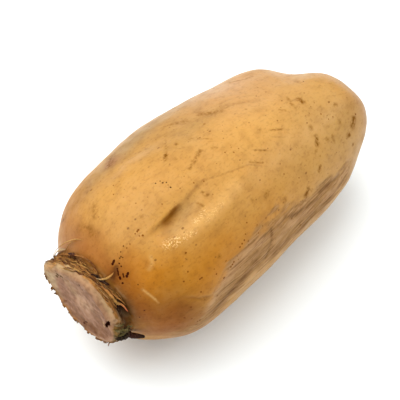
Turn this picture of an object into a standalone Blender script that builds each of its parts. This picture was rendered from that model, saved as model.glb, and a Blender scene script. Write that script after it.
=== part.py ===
"""A lotus root: one swollen segment of rhizome, cut through its node at one end and rounded at the other.

It is a single solid that lies on its side. Its long axis runs along X, with the cut node towards -X, and its
belly rests on z = 0. The origin is under the middle of the root. Angles run round the body in degrees, from
the top towards -Y.
"""

import math

import bmesh
import bpy
from mathutils import Matrix, Vector, noise

NAME = "lotus_root"

# Driving dimensions, in metres
LENGTH = 0.154
WIDEST_RADIUS = 0.0405
NODE_RADIUS = 0.0180
COLLAR_LENGTH = 0.0062
BELLY_FLAT_DEPTH = 0.0014

# The thick end lifts the node, so the axis dips towards the rounded end. There it also leans to -Y.
DIP = math.radians(3.0)
END_LEAN = 0.0032
LEAN_START = 0.50

# The knife went straight down through the node, so the cut isn't quite square to the axis
CUT_LEAN = math.radians(3.5)
CUT_TURN = math.radians(1.7)

# Side profile from the rounded end to the shoulder behind the collar: distance from the cut face as a share
# of LENGTH, then radius as a share of WIDEST_RADIUS
BODY_PROFILE = (
    (1.000, 0.00),
    (0.988, 0.38),
    (0.958, 0.57),
    (0.900, 0.70),
    (0.810, 0.80),
    (0.690, 0.89),
    (0.560, 0.96),
    (0.440, 1.00),
    (0.320, 1.00),
    (0.225, 0.95),
    (0.155, 0.86),
    (0.105, 0.74),
    (0.072, 0.59),
    (0.050, 0.50),
)
POINTS_PER_SPAN = 3
SIDES = 54
MERGE = 0.00001

# The collar that the cut leaves round the node: distance from the cut face as a share of COLLAR_LENGTH, then
# radius as a share of NODE_RADIUS. The cut face itself has rings of its own, and is dished.
COLLAR_PROFILE = (
    (1.12, 0.99),
    (0.82, 1.02),
    (0.40, 1.02),
    (0.10, 1.00),
    (0.00, 0.95),
)
FACE_RINGS = (0.72, 0.46, 0.20, 0.00)
FACE_DISH = 0.0006
# Lobes of the node's outline: angle, half width in degrees, and height in metres
NODE_LOBES = (
    (-72.0, 26.0, 0.0030),
    (112.0, 24.0, 0.0012),
    (20.0, 18.0, 0.0007),
    (-140.0, 34.0, -0.0010),
)

# Long hollows and swellings of the body: from (share of LENGTH, angle) to (share, angle), then half width
# and depth in metres. A negative depth is a swelling. They fade out at their ends, and towards the tip.
FLUTES = (
    ((0.26, -40.0), (0.70, -8.0), 0.009, 0.0010),
    ((0.70, -8.0), (0.88, -24.0), 0.009, 0.0012),
    ((0.92, -43.0), (1.00, -38.0), 0.018, 0.0064),
    ((0.79, -54.0), (0.83, -51.0), 0.012, -0.0030),
    ((0.45, -62.0), (0.66, -60.0), 0.016, -0.0016),
    ((0.15, -70.0), (0.20, -70.0), 0.014, -0.0010),
    ((0.30, 100.0), (0.60, 100.0), 0.018, 0.0022),
    ((0.96, 96.0), (1.00, 96.0), 0.012, 0.0030),
    ((0.93, 28.0), (0.96, 50.0), 0.013, -0.0020),
    ((0.08, 130.0), (0.11, 128.0), 0.010, 0.0012),
    ((0.18, 130.0), (0.26, 126.0), 0.012, -0.0014),
    ((0.30, 160.0), (0.95, 154.0), 0.014, 0.0008),
    ((0.18, -118.0), (0.90, -112.0), 0.013, 0.0009),
    ((0.21, 21.0), (0.29, 21.0), 0.005, 0.0014),
    ((0.22, 38.0), (0.36, 38.0), 0.006, -0.0007),
)
FLUTE_FADE = 0.013
TIP_FADE = 0.55
RIPPLE = 0.0004
RIPPLE_SIZE = 0.030

# Pits in the cut face: place along +Y and up from the axis, then radius and depth, in metres. A pit narrows
# from its mouth to PIT_TAPER of its radius.
PITS = (
    (-0.0148, 0.0010, 0.0010, 0.0034),
    (0.0080, 0.0105, 0.0006, 0.0020),
    (-0.0040, -0.0115, 0.0006, 0.0020),
)
PIT_SIDES = 10
PIT_TAPER = 0.45

SHARP_ANGLE = math.radians(50.0)

SKIN_COLOUR = (0.72, 0.42, 0.13, 1.0)
SKIN_ROUGHNESS = 0.42


def clear_scene():
    for old in list(bpy.data.objects):
        bpy.data.objects.remove(old, do_unlink=True)


def collection(name):
    made = bpy.data.collections.new(name)
    bpy.context.scene.collection.children.link(made)
    return made


def link_mesh(name, mesh, into):
    made = bpy.data.objects.new(name, mesh)
    into.objects.link(made)
    return made


def smoothstep(low, high, value):
    t = min(max((value - low) / (high - low), 0.0), 1.0)
    return t * t * (3.0 - 2.0 * t)


def curve_through(knots, per_span):
    """A smooth curve through the knots, the first of which is on the axis that the profile turns about."""
    mirrored = Vector((knots[1].x, -knots[1].y))
    ends = [mirrored, *knots, 2.0 * knots[-1] - knots[-2]]
    path = [knots[0]]
    for before, start, end, after in zip(ends, ends[1:], ends[2:], ends[3:]):
        leaving = (end - before) / 2.0
        arriving = (after - start) / 2.0
        for step in range(1, per_span + 1):
            t = step / per_span
            path.append(
                start * (2.0 * t**3 - 3.0 * t**2 + 1.0)
                + leaving * (t**3 - 2.0 * t**2 + t)
                + end * (3.0 * t**2 - 2.0 * t**3)
                + arriving * (t**3 - t**2)
            )
    return path


def side_profile():
    """(distance from the cut face, radius) from the rounded end, over the collar, to the cut's centre."""
    knots = [Vector((share * LENGTH, ratio * WIDEST_RADIUS)) for share, ratio in BODY_PROFILE]
    path = curve_through(knots, POINTS_PER_SPAN)
    path += [Vector((share * COLLAR_LENGTH, ratio * NODE_RADIUS)) for share, ratio in COLLAR_PROFILE]
    path += [Vector((FACE_DISH * (1.0 - ratio**2), ratio * NODE_RADIUS)) for ratio in FACE_RINGS]
    return path


def turned_body(into):
    """The profile turned about Z, with the rounded end up."""
    path = side_profile()
    mesh = bpy.data.meshes.new("side_profile")
    points = [(radius, 0.0, distance) for distance, radius in path]
    mesh.from_pydata(points, [(i, i + 1) for i in range(len(points) - 1)], [])
    profile = link_mesh("side_profile", mesh, into)
    screw = profile.modifiers.new("turn", "SCREW")
    screw.steps = SIDES
    screw.render_steps = SIDES
    screw.use_merge_vertices = True
    screw.merge_threshold = MERGE
    evaluated = profile.evaluated_get(bpy.context.evaluated_depsgraph_get())
    turned = bpy.data.meshes.new_from_object(evaluated)
    bpy.data.objects.remove(profile, do_unlink=True)
    turned.transform(Matrix.Rotation(math.radians(90.0), 4, "Y"))
    return turned


def flute_depth(distance, angle, flute):
    """How far one long hollow takes the surface in at a place."""
    (start, start_angle), (end, end_angle), half_width, depth = flute
    run = (distance / LENGTH - start) / (end - start)
    along = min(max(run, 0.0), 1.0)
    middle = math.radians(start_angle + (end_angle - start_angle) * along)
    turn = math.remainder(angle - middle, 2.0 * math.pi)
    aside = turn * WIDEST_RADIUS
    beyond = (run - along) * (end - start) * LENGTH
    offset = math.hypot(aside / half_width, beyond / FLUTE_FADE)
    return depth * math.exp(-(offset**2))


def lobe_height(angle):
    """How far the node's outline stands out at an angle."""
    height = 0.0
    for middle, half_width, lobe in NODE_LOBES:
        turn = math.remainder(math.degrees(angle) - middle, 360.0)
        height += lobe * math.exp(-((turn / half_width) ** 2))
    return height


def grow(bm):
    """Makes the turned shape a grown one: a lobed node, a fluted and rippled body, and a leaning end."""
    shoulder = BODY_PROFILE[-1][0] * LENGTH
    for vertex in bm.verts:
        distance, across, up = vertex.co
        radius = math.hypot(across, up)
        if radius < 1e-6:
            continue
        angle = math.atan2(-across, up)
        body = smoothstep(shoulder, shoulder + FLUTE_FADE, distance)
        node = 1.0 - smoothstep(0.5 * COLLAR_LENGTH, shoulder, distance)
        outward = node * lobe_height(angle) * min(radius / NODE_RADIUS, 1.0)
        body *= smoothstep(0.0, TIP_FADE * WIDEST_RADIUS, radius)
        depths = [flute_depth(distance, angle, flute) for flute in FLUTES]
        # Hollows that meet run into each other instead of adding up, and so do swellings
        inward = max(depths) + min(depths)
        outward += body * (RIPPLE * noise.noise(vertex.co / RIPPLE_SIZE) - inward)
        vertex.co.x += node * (across * math.tan(CUT_TURN) - up * math.tan(CUT_LEAN))
        vertex.co.y = across * (1.0 + outward / radius)
        vertex.co.z = up * (1.0 + outward / radius)
    for vertex in bm.verts:
        vertex.co.y -= END_LEAN * smoothstep(LEAN_START * LENGTH, LENGTH, vertex.co.x)


def lay_down(bm):
    """Tips the axis, cuts the belly flat and puts the origin under the middle. Returns the whole move."""
    bm.transform(Matrix.Rotation(DIP, 4, "Y"))
    lift = -BELLY_FLAT_DEPTH - min(vertex.co.z for vertex in bm.verts)
    bm.transform(Matrix.Translation((0.0, 0.0, lift)))
    cut = bmesh.ops.bisect_plane(
        bm,
        geom=bm.verts[:] + bm.edges[:] + bm.faces[:],
        dist=MERGE,
        plane_co=(0.0, 0.0, 0.0),
        plane_no=(0.0, 0.0, -1.0),
        clear_outer=True,
    )
    rim = [part for part in cut["geom_cut"] if isinstance(part, bmesh.types.BMEdge)]
    bmesh.ops.contextual_create(bm, geom=rim)
    low = [min(vertex.co[axis] for vertex in bm.verts) for axis in (0, 1)]
    high = [max(vertex.co[axis] for vertex in bm.verts) for axis in (0, 1)]
    shift = Vector((-(low[0] + high[0]) / 2.0, -(low[1] + high[1]) / 2.0, 0.0))
    bm.transform(Matrix.Translation(shift))
    return Matrix.Translation(shift + Vector((0.0, 0.0, lift))) @ Matrix.Rotation(DIP, 4, "Y")


def skin_material():
    material = bpy.data.materials.new("skin")
    material.use_nodes = True
    shader = material.node_tree.nodes["Principled BSDF"]
    shader.inputs["Base Color"].default_value = SKIN_COLOUR
    shader.inputs["Roughness"].default_value = SKIN_ROUGHNESS
    shader.inputs["Metallic"].default_value = 0.0
    return material


def make_root(parts):
    """The whole root, and the move that laid it down."""
    mesh = turned_body(parts)
    bm = bmesh.new()
    bm.from_mesh(mesh)
    grow(bm)
    laid = lay_down(bm)
    bmesh.ops.recalc_face_normals(bm, faces=bm.faces)
    bm.to_mesh(mesh)
    bm.free()
    mesh.name = NAME
    mesh.shade_smooth()
    mesh.set_sharp_from_angle(angle=SHARP_ANGLE)
    mesh.materials.append(skin_material())
    return link_mesh(NAME, mesh, parts), laid


def cut_pits(root, laid, cutters):
    """Small tapered pits in the cut face, where veins run through the node."""
    for number, (across, up, radius, depth) in enumerate(PITS):
        mesh = bpy.data.meshes.new(f"pit_{number}")
        bm = bmesh.new()
        bmesh.ops.create_cone(
            bm,
            cap_ends=True,
            segments=PIT_SIDES,
            radius1=radius * (2.0 - PIT_TAPER),
            radius2=radius * PIT_TAPER,
            depth=2.0 * depth,
            matrix=Matrix.Rotation(math.radians(90.0), 4, "Y"),
        )
        bm.to_mesh(mesh)
        bm.free()
        cutter = link_mesh(f"pit_{number}", mesh, cutters)
        cutter.matrix_world = laid @ Matrix.Translation((0.0, across, up))
        cutter.hide_render = True
        cutter.display_type = "WIRE"
        hole = root.modifiers.new(f"pit_{number}", "BOOLEAN")
        hole.operation = "DIFFERENCE"
        hole.object = cutter


def main():
    clear_scene()
    root, laid = make_root(collection(NAME))
    cut_pits(root, laid, collection("cutters"))


main()
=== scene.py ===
"""The looks of the lotus root: its grown skin, the cut through its node, and the torn husk round the node.

A place on the root is (distance from the cut in mm, angle in degrees), and a place on the cut is (angle,
radius in mm). Angles run round the root from the top towards -Y. Reliefs, widths, reaches and gaps are in mm,
and everything else is in metres.
"""

import math
import random

import bpy
import numpy as np
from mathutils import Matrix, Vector, noise
from mathutils.bvhtree import BVHTree


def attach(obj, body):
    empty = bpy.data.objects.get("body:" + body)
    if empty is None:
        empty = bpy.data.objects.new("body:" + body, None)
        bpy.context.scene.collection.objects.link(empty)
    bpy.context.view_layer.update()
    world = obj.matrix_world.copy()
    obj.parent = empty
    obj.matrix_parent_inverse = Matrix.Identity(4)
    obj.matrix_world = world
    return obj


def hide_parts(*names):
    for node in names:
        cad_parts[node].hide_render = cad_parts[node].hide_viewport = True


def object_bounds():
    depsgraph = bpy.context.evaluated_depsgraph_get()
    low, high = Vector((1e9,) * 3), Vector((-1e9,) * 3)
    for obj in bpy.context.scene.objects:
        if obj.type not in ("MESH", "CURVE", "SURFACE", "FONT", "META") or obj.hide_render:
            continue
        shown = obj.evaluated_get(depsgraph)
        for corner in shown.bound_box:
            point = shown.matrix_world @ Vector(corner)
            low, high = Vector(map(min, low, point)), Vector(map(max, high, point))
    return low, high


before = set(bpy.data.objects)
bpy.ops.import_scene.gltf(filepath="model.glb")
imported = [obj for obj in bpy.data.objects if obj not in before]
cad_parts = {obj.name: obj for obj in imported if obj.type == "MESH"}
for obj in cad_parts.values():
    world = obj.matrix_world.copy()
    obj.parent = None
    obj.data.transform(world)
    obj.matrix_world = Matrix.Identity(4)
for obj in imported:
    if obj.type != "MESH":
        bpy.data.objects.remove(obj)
CAD_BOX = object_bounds()

MM = 0.001
ALONG = np.array([1.0, 0.0, 0.0])
# The numbers that set one kind of noise apart from another
SEEDS = {
    "mottle": 1.0, "swell": 3.0, "dimple": 5.0, "long streaks": 9.0, "short streaks": 11.0,
    "shreds": 21.0, "collar lumps": 23.0, "scrapes": 31.0, "cut lumps": 33.0, "pore edges": 35.0,
    "pale scuff": 41.0, "dark scuff": 43.0, "scuff strokes": 45.0, "scuff edge": 47.0,
    "collar": 51.0, "collar dark": 53.0, "cut cloud": 61.0, "rim": 71.0, "slope edge": 73.0,
}

# ---------------------------------------------------------------- The grid that the skin is built on
COLUMNS = 330
# Spacing of the rows: (distance from the cut, step) in mm
ROW_STEPS = ((0.0, 0.42), (16.0, 0.42), (22.0, 0.60), (60.0, 0.66), (126.0, 0.80))
FIRST_ROW = 0.45
# The points of the centre line that the rays to the rim and to the tip start from, in mm from the cut
RIM_CENTRE = 6.0
TIP_CENTRE = 126.0
TIP_ROWS = 56
FACE_ROWS = 28
# How far out the last row of the cut lies, as a share of the rim's radius
FACE_EDGE = 0.975
# How far out a ray starts that looks back for the root's outside, in metres
FAR_OUT = 0.2
# How deep the slices of the CAD node are that say where the middles of its two ends lie
RIM_SLICE = 3.0
TIP_SLICE = 1.5
# How far the CAD facets are smoothed out along the root: near the node, on the body, and where that changes
NODE_SMOOTHING = 0.7
BODY_SMOOTHING = 3.0
SMOOTHING_CHANGE = (10.0, 26.0)
# Waves round the root that are shorter than one part in this many are smoothed out
SMOOTH_HARMONIC = 20.0
# The node's radius, for noise that runs round it
NODE_RADIUS = 18.0
# Patches near the tip are as wide as if the root's radius were at least this
LEAST_RADIUS = 12.0
# Gaps over this many mm are not worked out
NOT_NEAR = 14.0
# The materials of the grown skin, by their number, and where the torn collar ends
SKIN, CUT, TORN = 0, 1, 2
TORN_END = 7.6

# ---------------------------------------------------------------- Camera, table and light
AZIMUTH = math.radians(-47.1)
ELEVATION = math.radians(55.0)
CAMERA_DISTANCE = 0.900
LENS = 192.6
# How far from the middle of the CAD box the camera aims
AIM_SHIFT = Vector((-0.0044, 0.0007, 0.0))
TABLE_SIZE = 6.0
# The room's light at the horizon and overhead, and the heights that it fades between
ROOM_LIGHT = (0.10, 1.15)
ROOM_FADE = (-0.05, 0.70)
# The soft lights: name, place, size, power in watts and colour
LIGHTS = (
    ("key", (-0.12, 0.38, 0.95), 1.25, 10.5, (1.0, 0.985, 0.96)),
    ("side", (0.55, -0.35, 0.45), 0.25, 0.7, (1.0, 0.98, 0.95)),
)
LIT_POINT = (0.0, 0.0, 0.04)
# The white table's two shades, as linear colours, and the size of their clouds
TABLE_WHITE = (0.925, 0.98, 1.0, 1.0)
TABLE_GREY = (0.91, 0.965, 0.985, 1.0)
TABLE_CLOUD = 0.5


def smoothstep(low, high, value):
    """Eases from 0 at the low value to 1 at the high one."""
    share = np.clip((value - low) / (high - low), 0.0, 1.0)
    return share * share * (3.0 - 2.0 * share)


def fade(low, high, value):
    """Eases from 1 at the low value to 0 at the high one."""
    return 1.0 - smoothstep(low, high, value)


def bump(offset, reach):
    """A soft hill: 1 at an offset of 0, fading over the reach."""
    return np.exp(-((offset / reach) ** 2))


def turn_from(angle, middle):
    """Degrees from one angle to another, the short way round."""
    return (angle - middle + 180.0) % 360.0 - 180.0


def noise_at(spots, kind):
    """Smooth noise, about -0.7 to 0.7, at an array of points with features about one unit across."""
    seed = SEEDS[kind]
    shift = Vector((seed, 1.7 * seed, -seed))
    values = [noise.noise(Vector(spot) + shift) for spot in spots.reshape(-1, 3)]
    return np.array(values).reshape(spots.shape[:-1])


def smooth_round(rings):
    """Rings of values round the root without their short waves."""
    waves = np.fft.rfft(rings, axis=-1)
    waves *= bump(np.arange(waves.shape[-1]), SMOOTH_HARMONIC)
    return np.fft.irfft(waves, n=COLUMNS, axis=-1)


class Skin:
    """The root's outside as a grid of rows by columns: the cut from its middle out, then the body."""

    def __init__(self, root):
        corners = np.array([vertex.co for vertex in root.data.vertices])
        self.cut_x = corners[:, 0].min()
        self.length = (corners[:, 0].max() - self.cut_x) / MM
        rim = corners[corners[:, 0] < self.cut_x + RIM_SLICE * MM]
        tip = corners[corners[:, 0] > corners[:, 0].max() - TIP_SLICE * MM]
        self.middles = ((rim.min(0) + rim.max(0)) / 2.0, tip.mean(0))
        self.angle = np.arange(COLUMNS) * 360.0 / COLUMNS
        turned = np.radians(self.angle)
        self.outward = np.stack([np.zeros(COLUMNS), -np.sin(turned), np.cos(turned)], axis=-1)
        self.tree = BVHTree.FromObject(root, bpy.context.evaluated_depsgraph_get())
        self.rim = self.find_rim()
        self.points = np.concatenate([self.face_rows(), self.body_rows()])
        self.measure()

    def middle(self, distance):
        """The point of the centre line at a distance from the cut."""
        share = distance / self.length
        across = self.middles[0][1] + (self.middles[1][1] - self.middles[0][1]) * share
        up = self.middles[0][2] + (self.middles[1][2] - self.middles[0][2]) * share
        return np.array([self.cut_x + distance * MM, across, up])

    def body_rows(self):
        """Points where rays from inside the root leave the CAD node, with its facets smoothed out.

        The rays to the rim all start at one point of the centre line, and so do the rays to the tip.
        """
        steps = np.array(ROW_STEPS)
        stems = [FIRST_ROW]
        while stems[-1] < TIP_CENTRE:
            stems.append(min(stems[-1] + np.interp(stems[-1], steps[:, 0], steps[:, 1]), TIP_CENTRE))
        starts = [self.middle(max(stem, RIM_CENTRE)) for stem in stems]
        leans = [(stem - RIM_CENTRE) * MM if stem < RIM_CENTRE else 0.0 for stem in stems]
        rays = [self.outward * self.rim[:, None] + ALONG * lean for lean in leans]
        for row in range(1, TIP_ROWS):
            tilt = math.radians(90.0) * (1.0 - row / (TIP_ROWS - 0.5))
            starts.append(self.middle(TIP_CENTRE))
            rays.append(self.outward * math.sin(tilt) + ALONG * math.cos(tilt))
        starts = np.array(starts)
        rays = np.array(rays)
        rays /= np.linalg.norm(rays, axis=-1, keepdims=True)
        reach = np.empty(rays.shape[:2])
        for row, start in enumerate(starts):
            reach[row] = [self.reach(start, ray) for ray in rays[row]]
        stems = np.array(stems + [TIP_CENTRE] * (TIP_ROWS - 1))
        reach = self.smoothed(reach, stems)
        return starts[:, None] + rays * reach[..., None]

    def reach(self, start, ray):
        """How far it is from a point inside the root to its outside."""
        ray = Vector(ray)
        return (self.tree.ray_cast(Vector(start) + ray * FAR_OUT, -ray)[0] - Vector(start)).length

    def smoothed(self, reach, stems):
        """The rays' lengths without the facets of the CAD node."""
        arcs = np.arange(len(stems)) * ROW_STEPS[-1][1]
        arcs[stems < TIP_CENTRE] = stems[stems < TIP_CENTRE]
        arcs[stems >= TIP_CENTRE] += TIP_CENTRE - arcs[stems >= TIP_CENTRE][0]
        width = NODE_SMOOTHING + (BODY_SMOOTHING - NODE_SMOOTHING) * smoothstep(*SMOOTHING_CHANGE, arcs)
        weight = np.exp(-(((arcs[:, None] - arcs[None]) / width[:, None]) ** 2) / 2.0)
        return smooth_round(weight @ reach / weight.sum(axis=1, keepdims=True))

    def find_rim(self):
        """The radius of the cut's rim at each angle, without its facets."""
        start = self.middle(RIM_SLICE)
        return smooth_round(np.array([self.reach(start, outward) for outward in self.outward]))

    def face_rows(self):
        """The cut, from near its middle to its rim, in even steps."""
        start = self.middle(RIM_CENTRE)
        rows = []
        for row in range(FACE_ROWS):
            share = (row + 0.5) / FACE_ROWS * FACE_EDGE
            rays = self.outward * (share * self.rim)[:, None] - ALONG * RIM_CENTRE * MM
            rays /= np.linalg.norm(rays, axis=-1, keepdims=True)
            rows.append([start + ray * self.reach(start, ray) for ray in rays])
        return np.array(rows)

    def measure(self):
        """Works out each grid point's distance, radius and outward normal."""
        self.distance = (self.points[..., 0] - self.cut_x) / MM
        centre = np.stack([self.middle(distance) for distance in self.distance.mean(axis=1)])
        offset = (self.points - centre[:, None])[..., 1:]
        self.radius = np.linalg.norm(offset, axis=-1) / MM
        self.row_distance = np.maximum.accumulate(self.distance[FACE_ROWS:].mean(axis=1))
        along = np.gradient(self.points, axis=0)
        around = np.roll(self.points, -1, axis=1) - np.roll(self.points, 1, axis=1)
        normal = np.cross(around, along)
        self.normals = normal / np.linalg.norm(normal, axis=-1, keepdims=True)

    def spot(self, grid, distance, angle):
        """A grid's value at a place on the body, between its rows and columns."""
        row = FACE_ROWS + np.interp(distance, self.row_distance, np.arange(len(self.row_distance)))
        column = (angle % 360.0) / 360.0 * COLUMNS
        top, left = int(row), int(column)
        below = min(top + 1, len(grid) - 1)
        right = (left + 1) % COLUMNS
        down, over = row - top, column - left
        upper = grid[top, left % COLUMNS] * (1.0 - over) + grid[top, right] * over
        lower = grid[below, left % COLUMNS] * (1.0 - over) + grid[below, right] * over
        return upper * (1.0 - down) + lower * down

    def at(self, distance, angle, lift=0.0):
        """The point of the surface at a place, or above it by a lift in mm."""
        return self.spot(self.points, distance, angle) + self.spot(self.normals, distance, angle) * lift * MM

    def on_cut(self, angle, radius):
        """The point of the cut at an angle and a radius in mm."""
        line = self.points[:FACE_ROWS, round(angle % 360.0 / 360.0 * COLUMNS) % COLUMNS]
        radii = np.linalg.norm((line - self.middle(0.0))[:, 1:], axis=1) / MM
        return [np.interp(radius, radii, line[:, axis]) for axis in range(3)]

    def gap_to(self, path):
        """Each grid point's gap to a path of places over the surface, and its share of the way along it."""
        knots = [self.at(*path[0])]
        for start, end in zip(path, path[1:]):
            parts = max(1, round(abs(end[0] - start[0]) + abs(end[1] - start[1]) / 2.0) // 2)
            for part in range(1, parts + 1):
                share = part / parts
                knots.append(self.at(*(first + (last - first) * share for first, last in zip(start, end))))
        knots = np.array(knots)
        gap = np.full(self.points.shape[:2], NOT_NEAR)
        share = np.zeros(gap.shape)
        low = knots.min(0) - NOT_NEAR * MM
        high = knots.max(0) + NOT_NEAR * MM
        near = np.all((self.points > low) & (self.points < high), axis=-1)
        spots = self.points[near]
        nearest = np.full(len(spots), NOT_NEAR * MM)
        reached = np.zeros(len(spots))
        lines = list(zip(knots, knots[1:])) or [(knots[0], knots[0])]
        for number, (start, end) in enumerate(lines):
            line = end - start
            part = np.clip((spots - start) @ line / max(line @ line, 1e-12), 0.0, 1.0)
            away = np.linalg.norm(spots - start - part[:, None] * line, axis=1)
            closer = away < nearest
            nearest[closer] = away[closer]
            reached[closer] = (number + part[closer]) / len(lines)
        gap[near] = nearest / MM
        share[near] = reached
        return gap, share

    def line(self, path, reach, ragged=1.0):
        """A soft line along a path of places: 1 on it, fading over its reach, which a raggedness varies."""
        return bump(self.gap_to(path)[0] * ragged, reach)


# ---------------------------------------------------------------- Relief of the body, in mm
# The pinched fold on top: the sharp edge that it drops from, as (distance, angle)
FOLD_EDGE = ((26.0, 17.6), (38.7, 16.6), (46.0, 16.0), (54.0, 14.0), (64.0, 12.6))
# How deep it is along the root, as (distance, share)
FOLD_DEPTHS = ((28.0, 0.0), (33.0, 0.25), (38.0, 1.0), (43.0, 1.0), (47.0, 0.28), (56.0, 0.10), (66.0, 0.0))
# Its greatest depth, the width of its steep side and how far its gentle side reaches
FOLD_DEPTH = 1.7
FOLD_WALL = 1.9
FOLD_BASIN = 5.0
# Long low swellings (a minus depth) and hollows: path of places, reach aside and depth
FOLDS = (
    (((32, 32), (40, 35), (50, 35), (59, 34), (69, 31), (78, 27)), 3.2, -0.55),
    (((46, 22), (53, 20), (57, 18)), 3.6, 0.45),
    (((40, -34), (56, -32), (70, -26), (88, -20), (112, -8)), 4.5, 0.35),
    (((84, 26), (98, 30)), 6.0, 0.30),
    (((19, 10), (27, 22)), 5.0, -0.35),
)
# Low swellings of the whole side: place, reach along and round the root in mm, and height
SWELLS = (
    ((147, 42), (11, 14), 2.0),
    ((92, 104), (24, 9), 0.9),
    ((131, -47), (9, 8), 1.2),
    ((135, -16), (7, 5), -0.8),
    ((16, 117), (14, 14), -1.1),
    ((47, 104), (9, 8), -0.5),
)
# Creases of the skin and small ridges (a minus depth): path of places, reach aside, depth and how dark
CREASES = (
    (((58, 11), (62, 15), (70, 19), (82, 24), (89, 33)), 0.45, 0.16, 0.55),
    (((58, 20), (60, 22), (57, 23)), 0.55, 0.18, 0.50),
    (((59, 11), (58, 14), (56, 15)), 0.60, 0.15, 0.45),
    (((40, 25), (47, 28)), 0.40, -0.16, 0.00),
    (((24, 29), (22.6, 33), (22.4, 38), (20.3, 35.5)), 0.70, -0.30, 0.00),
    (((88, 18), (95, 26)), 0.50, 0.10, 0.45),
    (((102, 15), (109, 22)), 0.45, 0.08, 0.35),
    (((99, 18), (106, 26)), 0.45, 0.08, 0.35),
    (((86, -24), (98, -22), (112, -10)), 1.30, 0.22, 0.30),
    (((92, -27), (104, -24), (113, -16)), 0.60, 0.12, 0.25),
    (((72, -33), (65, -22), (57, -12)), 0.50, 0.12, 0.40),
    (((74, -4), (68, 0), (61, 4)), 0.60, 0.12, 0.40),
    (((69, -15), (74, -10), (78, -5)), 0.50, 0.10, 0.30),
    (((62, -20), (66, -12), (68, -7)), 0.50, 0.10, 0.25),
    (((119, 3), (124, 8), (125, 12)), 0.70, 0.12, 0.45),
    (((27, 70), (32, 76), (38, 81)), 0.80, 0.35, 0.70),
    (((14.9, 17.8), (19.7, 13.0), (22.9, 13.1), (27.8, 14.4)), 0.50, 0.10, 0.50),
    (((24.5, 15.4), (31, 15.8), (37.5, 15.6), (43, 14.9)), 0.45, -0.22, 0.00),
    (((46.7, 21.4), (50, 20.6), (55.8, 19.6)), 0.40, 0.14, 0.40),
    (((43, 24.2), (47.5, 25.4), (52, 26.4)), 0.40, 0.14, 0.40),
    (((50.9, 24.0), (54, 24.2), (58, 22.6)), 0.40, -0.18, 0.00),
    (((48.5, 22.4), (52.5, 22.0), (56.5, 21.4)), 0.40, -0.16, 0.00),
    (((36.3, 82), (39.9, 77), (43.9, 71), (48.9, 65)), 0.45, 0.12, 0.45),
    (((15, 50), (17.4, 60)), 0.40, -0.14, 0.00),
    (((15.6, 54), (17.8, 63)), 0.40, -0.10, 0.00),
    (((122, 76), (108, 80), (96, 84), (88, 88)), 0.60, 0.20, 0.50),
    (((118, 81), (104, 86), (90, 92), (76, 95)), 0.60, -0.15, 0.00),
    (((80, 96), (66, 100), (54, 104), (42, 108)), 0.70, 0.20, 0.35),
    (((72, 82), (66, 84), (56, 90)), 0.50, 0.12, 0.35),
)
# The matt patches of the skin: place, reach along and round the root in mm, and strength
DULL_PATCHES = (
    ((20, 92), (22, 30), 0.9),
    ((39.5, 18.5), (5, 3), 0.9),
    ((30, -60), (30, 12), 0.8),
)
# The scuffed side that lay against something: (distance, middle angle, half width in degrees)
SCUFF_BAND = (
    (24, 112, 6), (34, 104, 11), (43, 93, 19), (54, 82, 17), (62, 78, 16), (74, 78, 18),
    (89, 83, 19), (100, 84, 15), (112, 84, 14), (122, 86, 13), (132, 86, 9),
)
# Where across its half width the scuffed side ends, and where along the root it begins and ends
SCUFF_EDGE = (0.70, 1.20)
SCUFF_START = (16.0, 34.0)
SCUFF_END = (122.0, 136.0)
# Its grooves: strength, length, width and the kind of noise
SCUFF_RELIEF = 0.20
SCUFF_GROOVES = ((1.0, 22.0, 1.6, "long streaks"), (0.6, 10.0, 0.8, "short streaks"))
# How much of a crease's length is left out of the taper at each end
CREASE_END = 0.05
# The skin's own unevenness: height and size
SKIN_SWELL = (0.35, 18.0)
SKIN_DIMPLE = (0.10, 5.0)
# Where the body's relief begins, from the cut
BODY_START = (6.4, 9.0)
# The crease between the collar and the shoulder: distance, half width and depth
NECK_CREASE = (7.0, 1.4, 0.35)
# Where it is deeper: angle, reach in degrees and how much deeper
NECK_RECESS = (70.0, 20.0, 2.6)
# The lump of torn collar behind the rim's lobe: its middle, reach along (mm) and round (degrees), and height
NODE_LUMP = ((7.4, -72.0), (3.2, 16.0), 3.4)
# Painted shade in the recess behind the collar: its middle, and its reach along (mm) and round (degrees)
PAINTED_RECESS_SHADE = ((7.0, 64.0), (3.2, 24.0))

# ---------------------------------------------------------------- Relief of the cut and its collar, in mm
# The raised band inside the rim: where it rises, as shares of the rim's radius, its height, the least share
# of it all round, and the angle where it is highest
RIM_BAND = (0.78, 0.89)
RIM_RAISE = 0.30
RIM_RAISE_LEAST = 0.35
RIM_RAISE_ANGLE = 30.0
# The knife's scrapes: how they are turned, and their depth, length and width
SCRAPE_TURN = math.radians(-38.0)
SCRAPES = (0.06, 5.0, 0.7)
# The cut's lumps: height and size
FACE_LUMPS = (0.35, 3.2)
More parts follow.
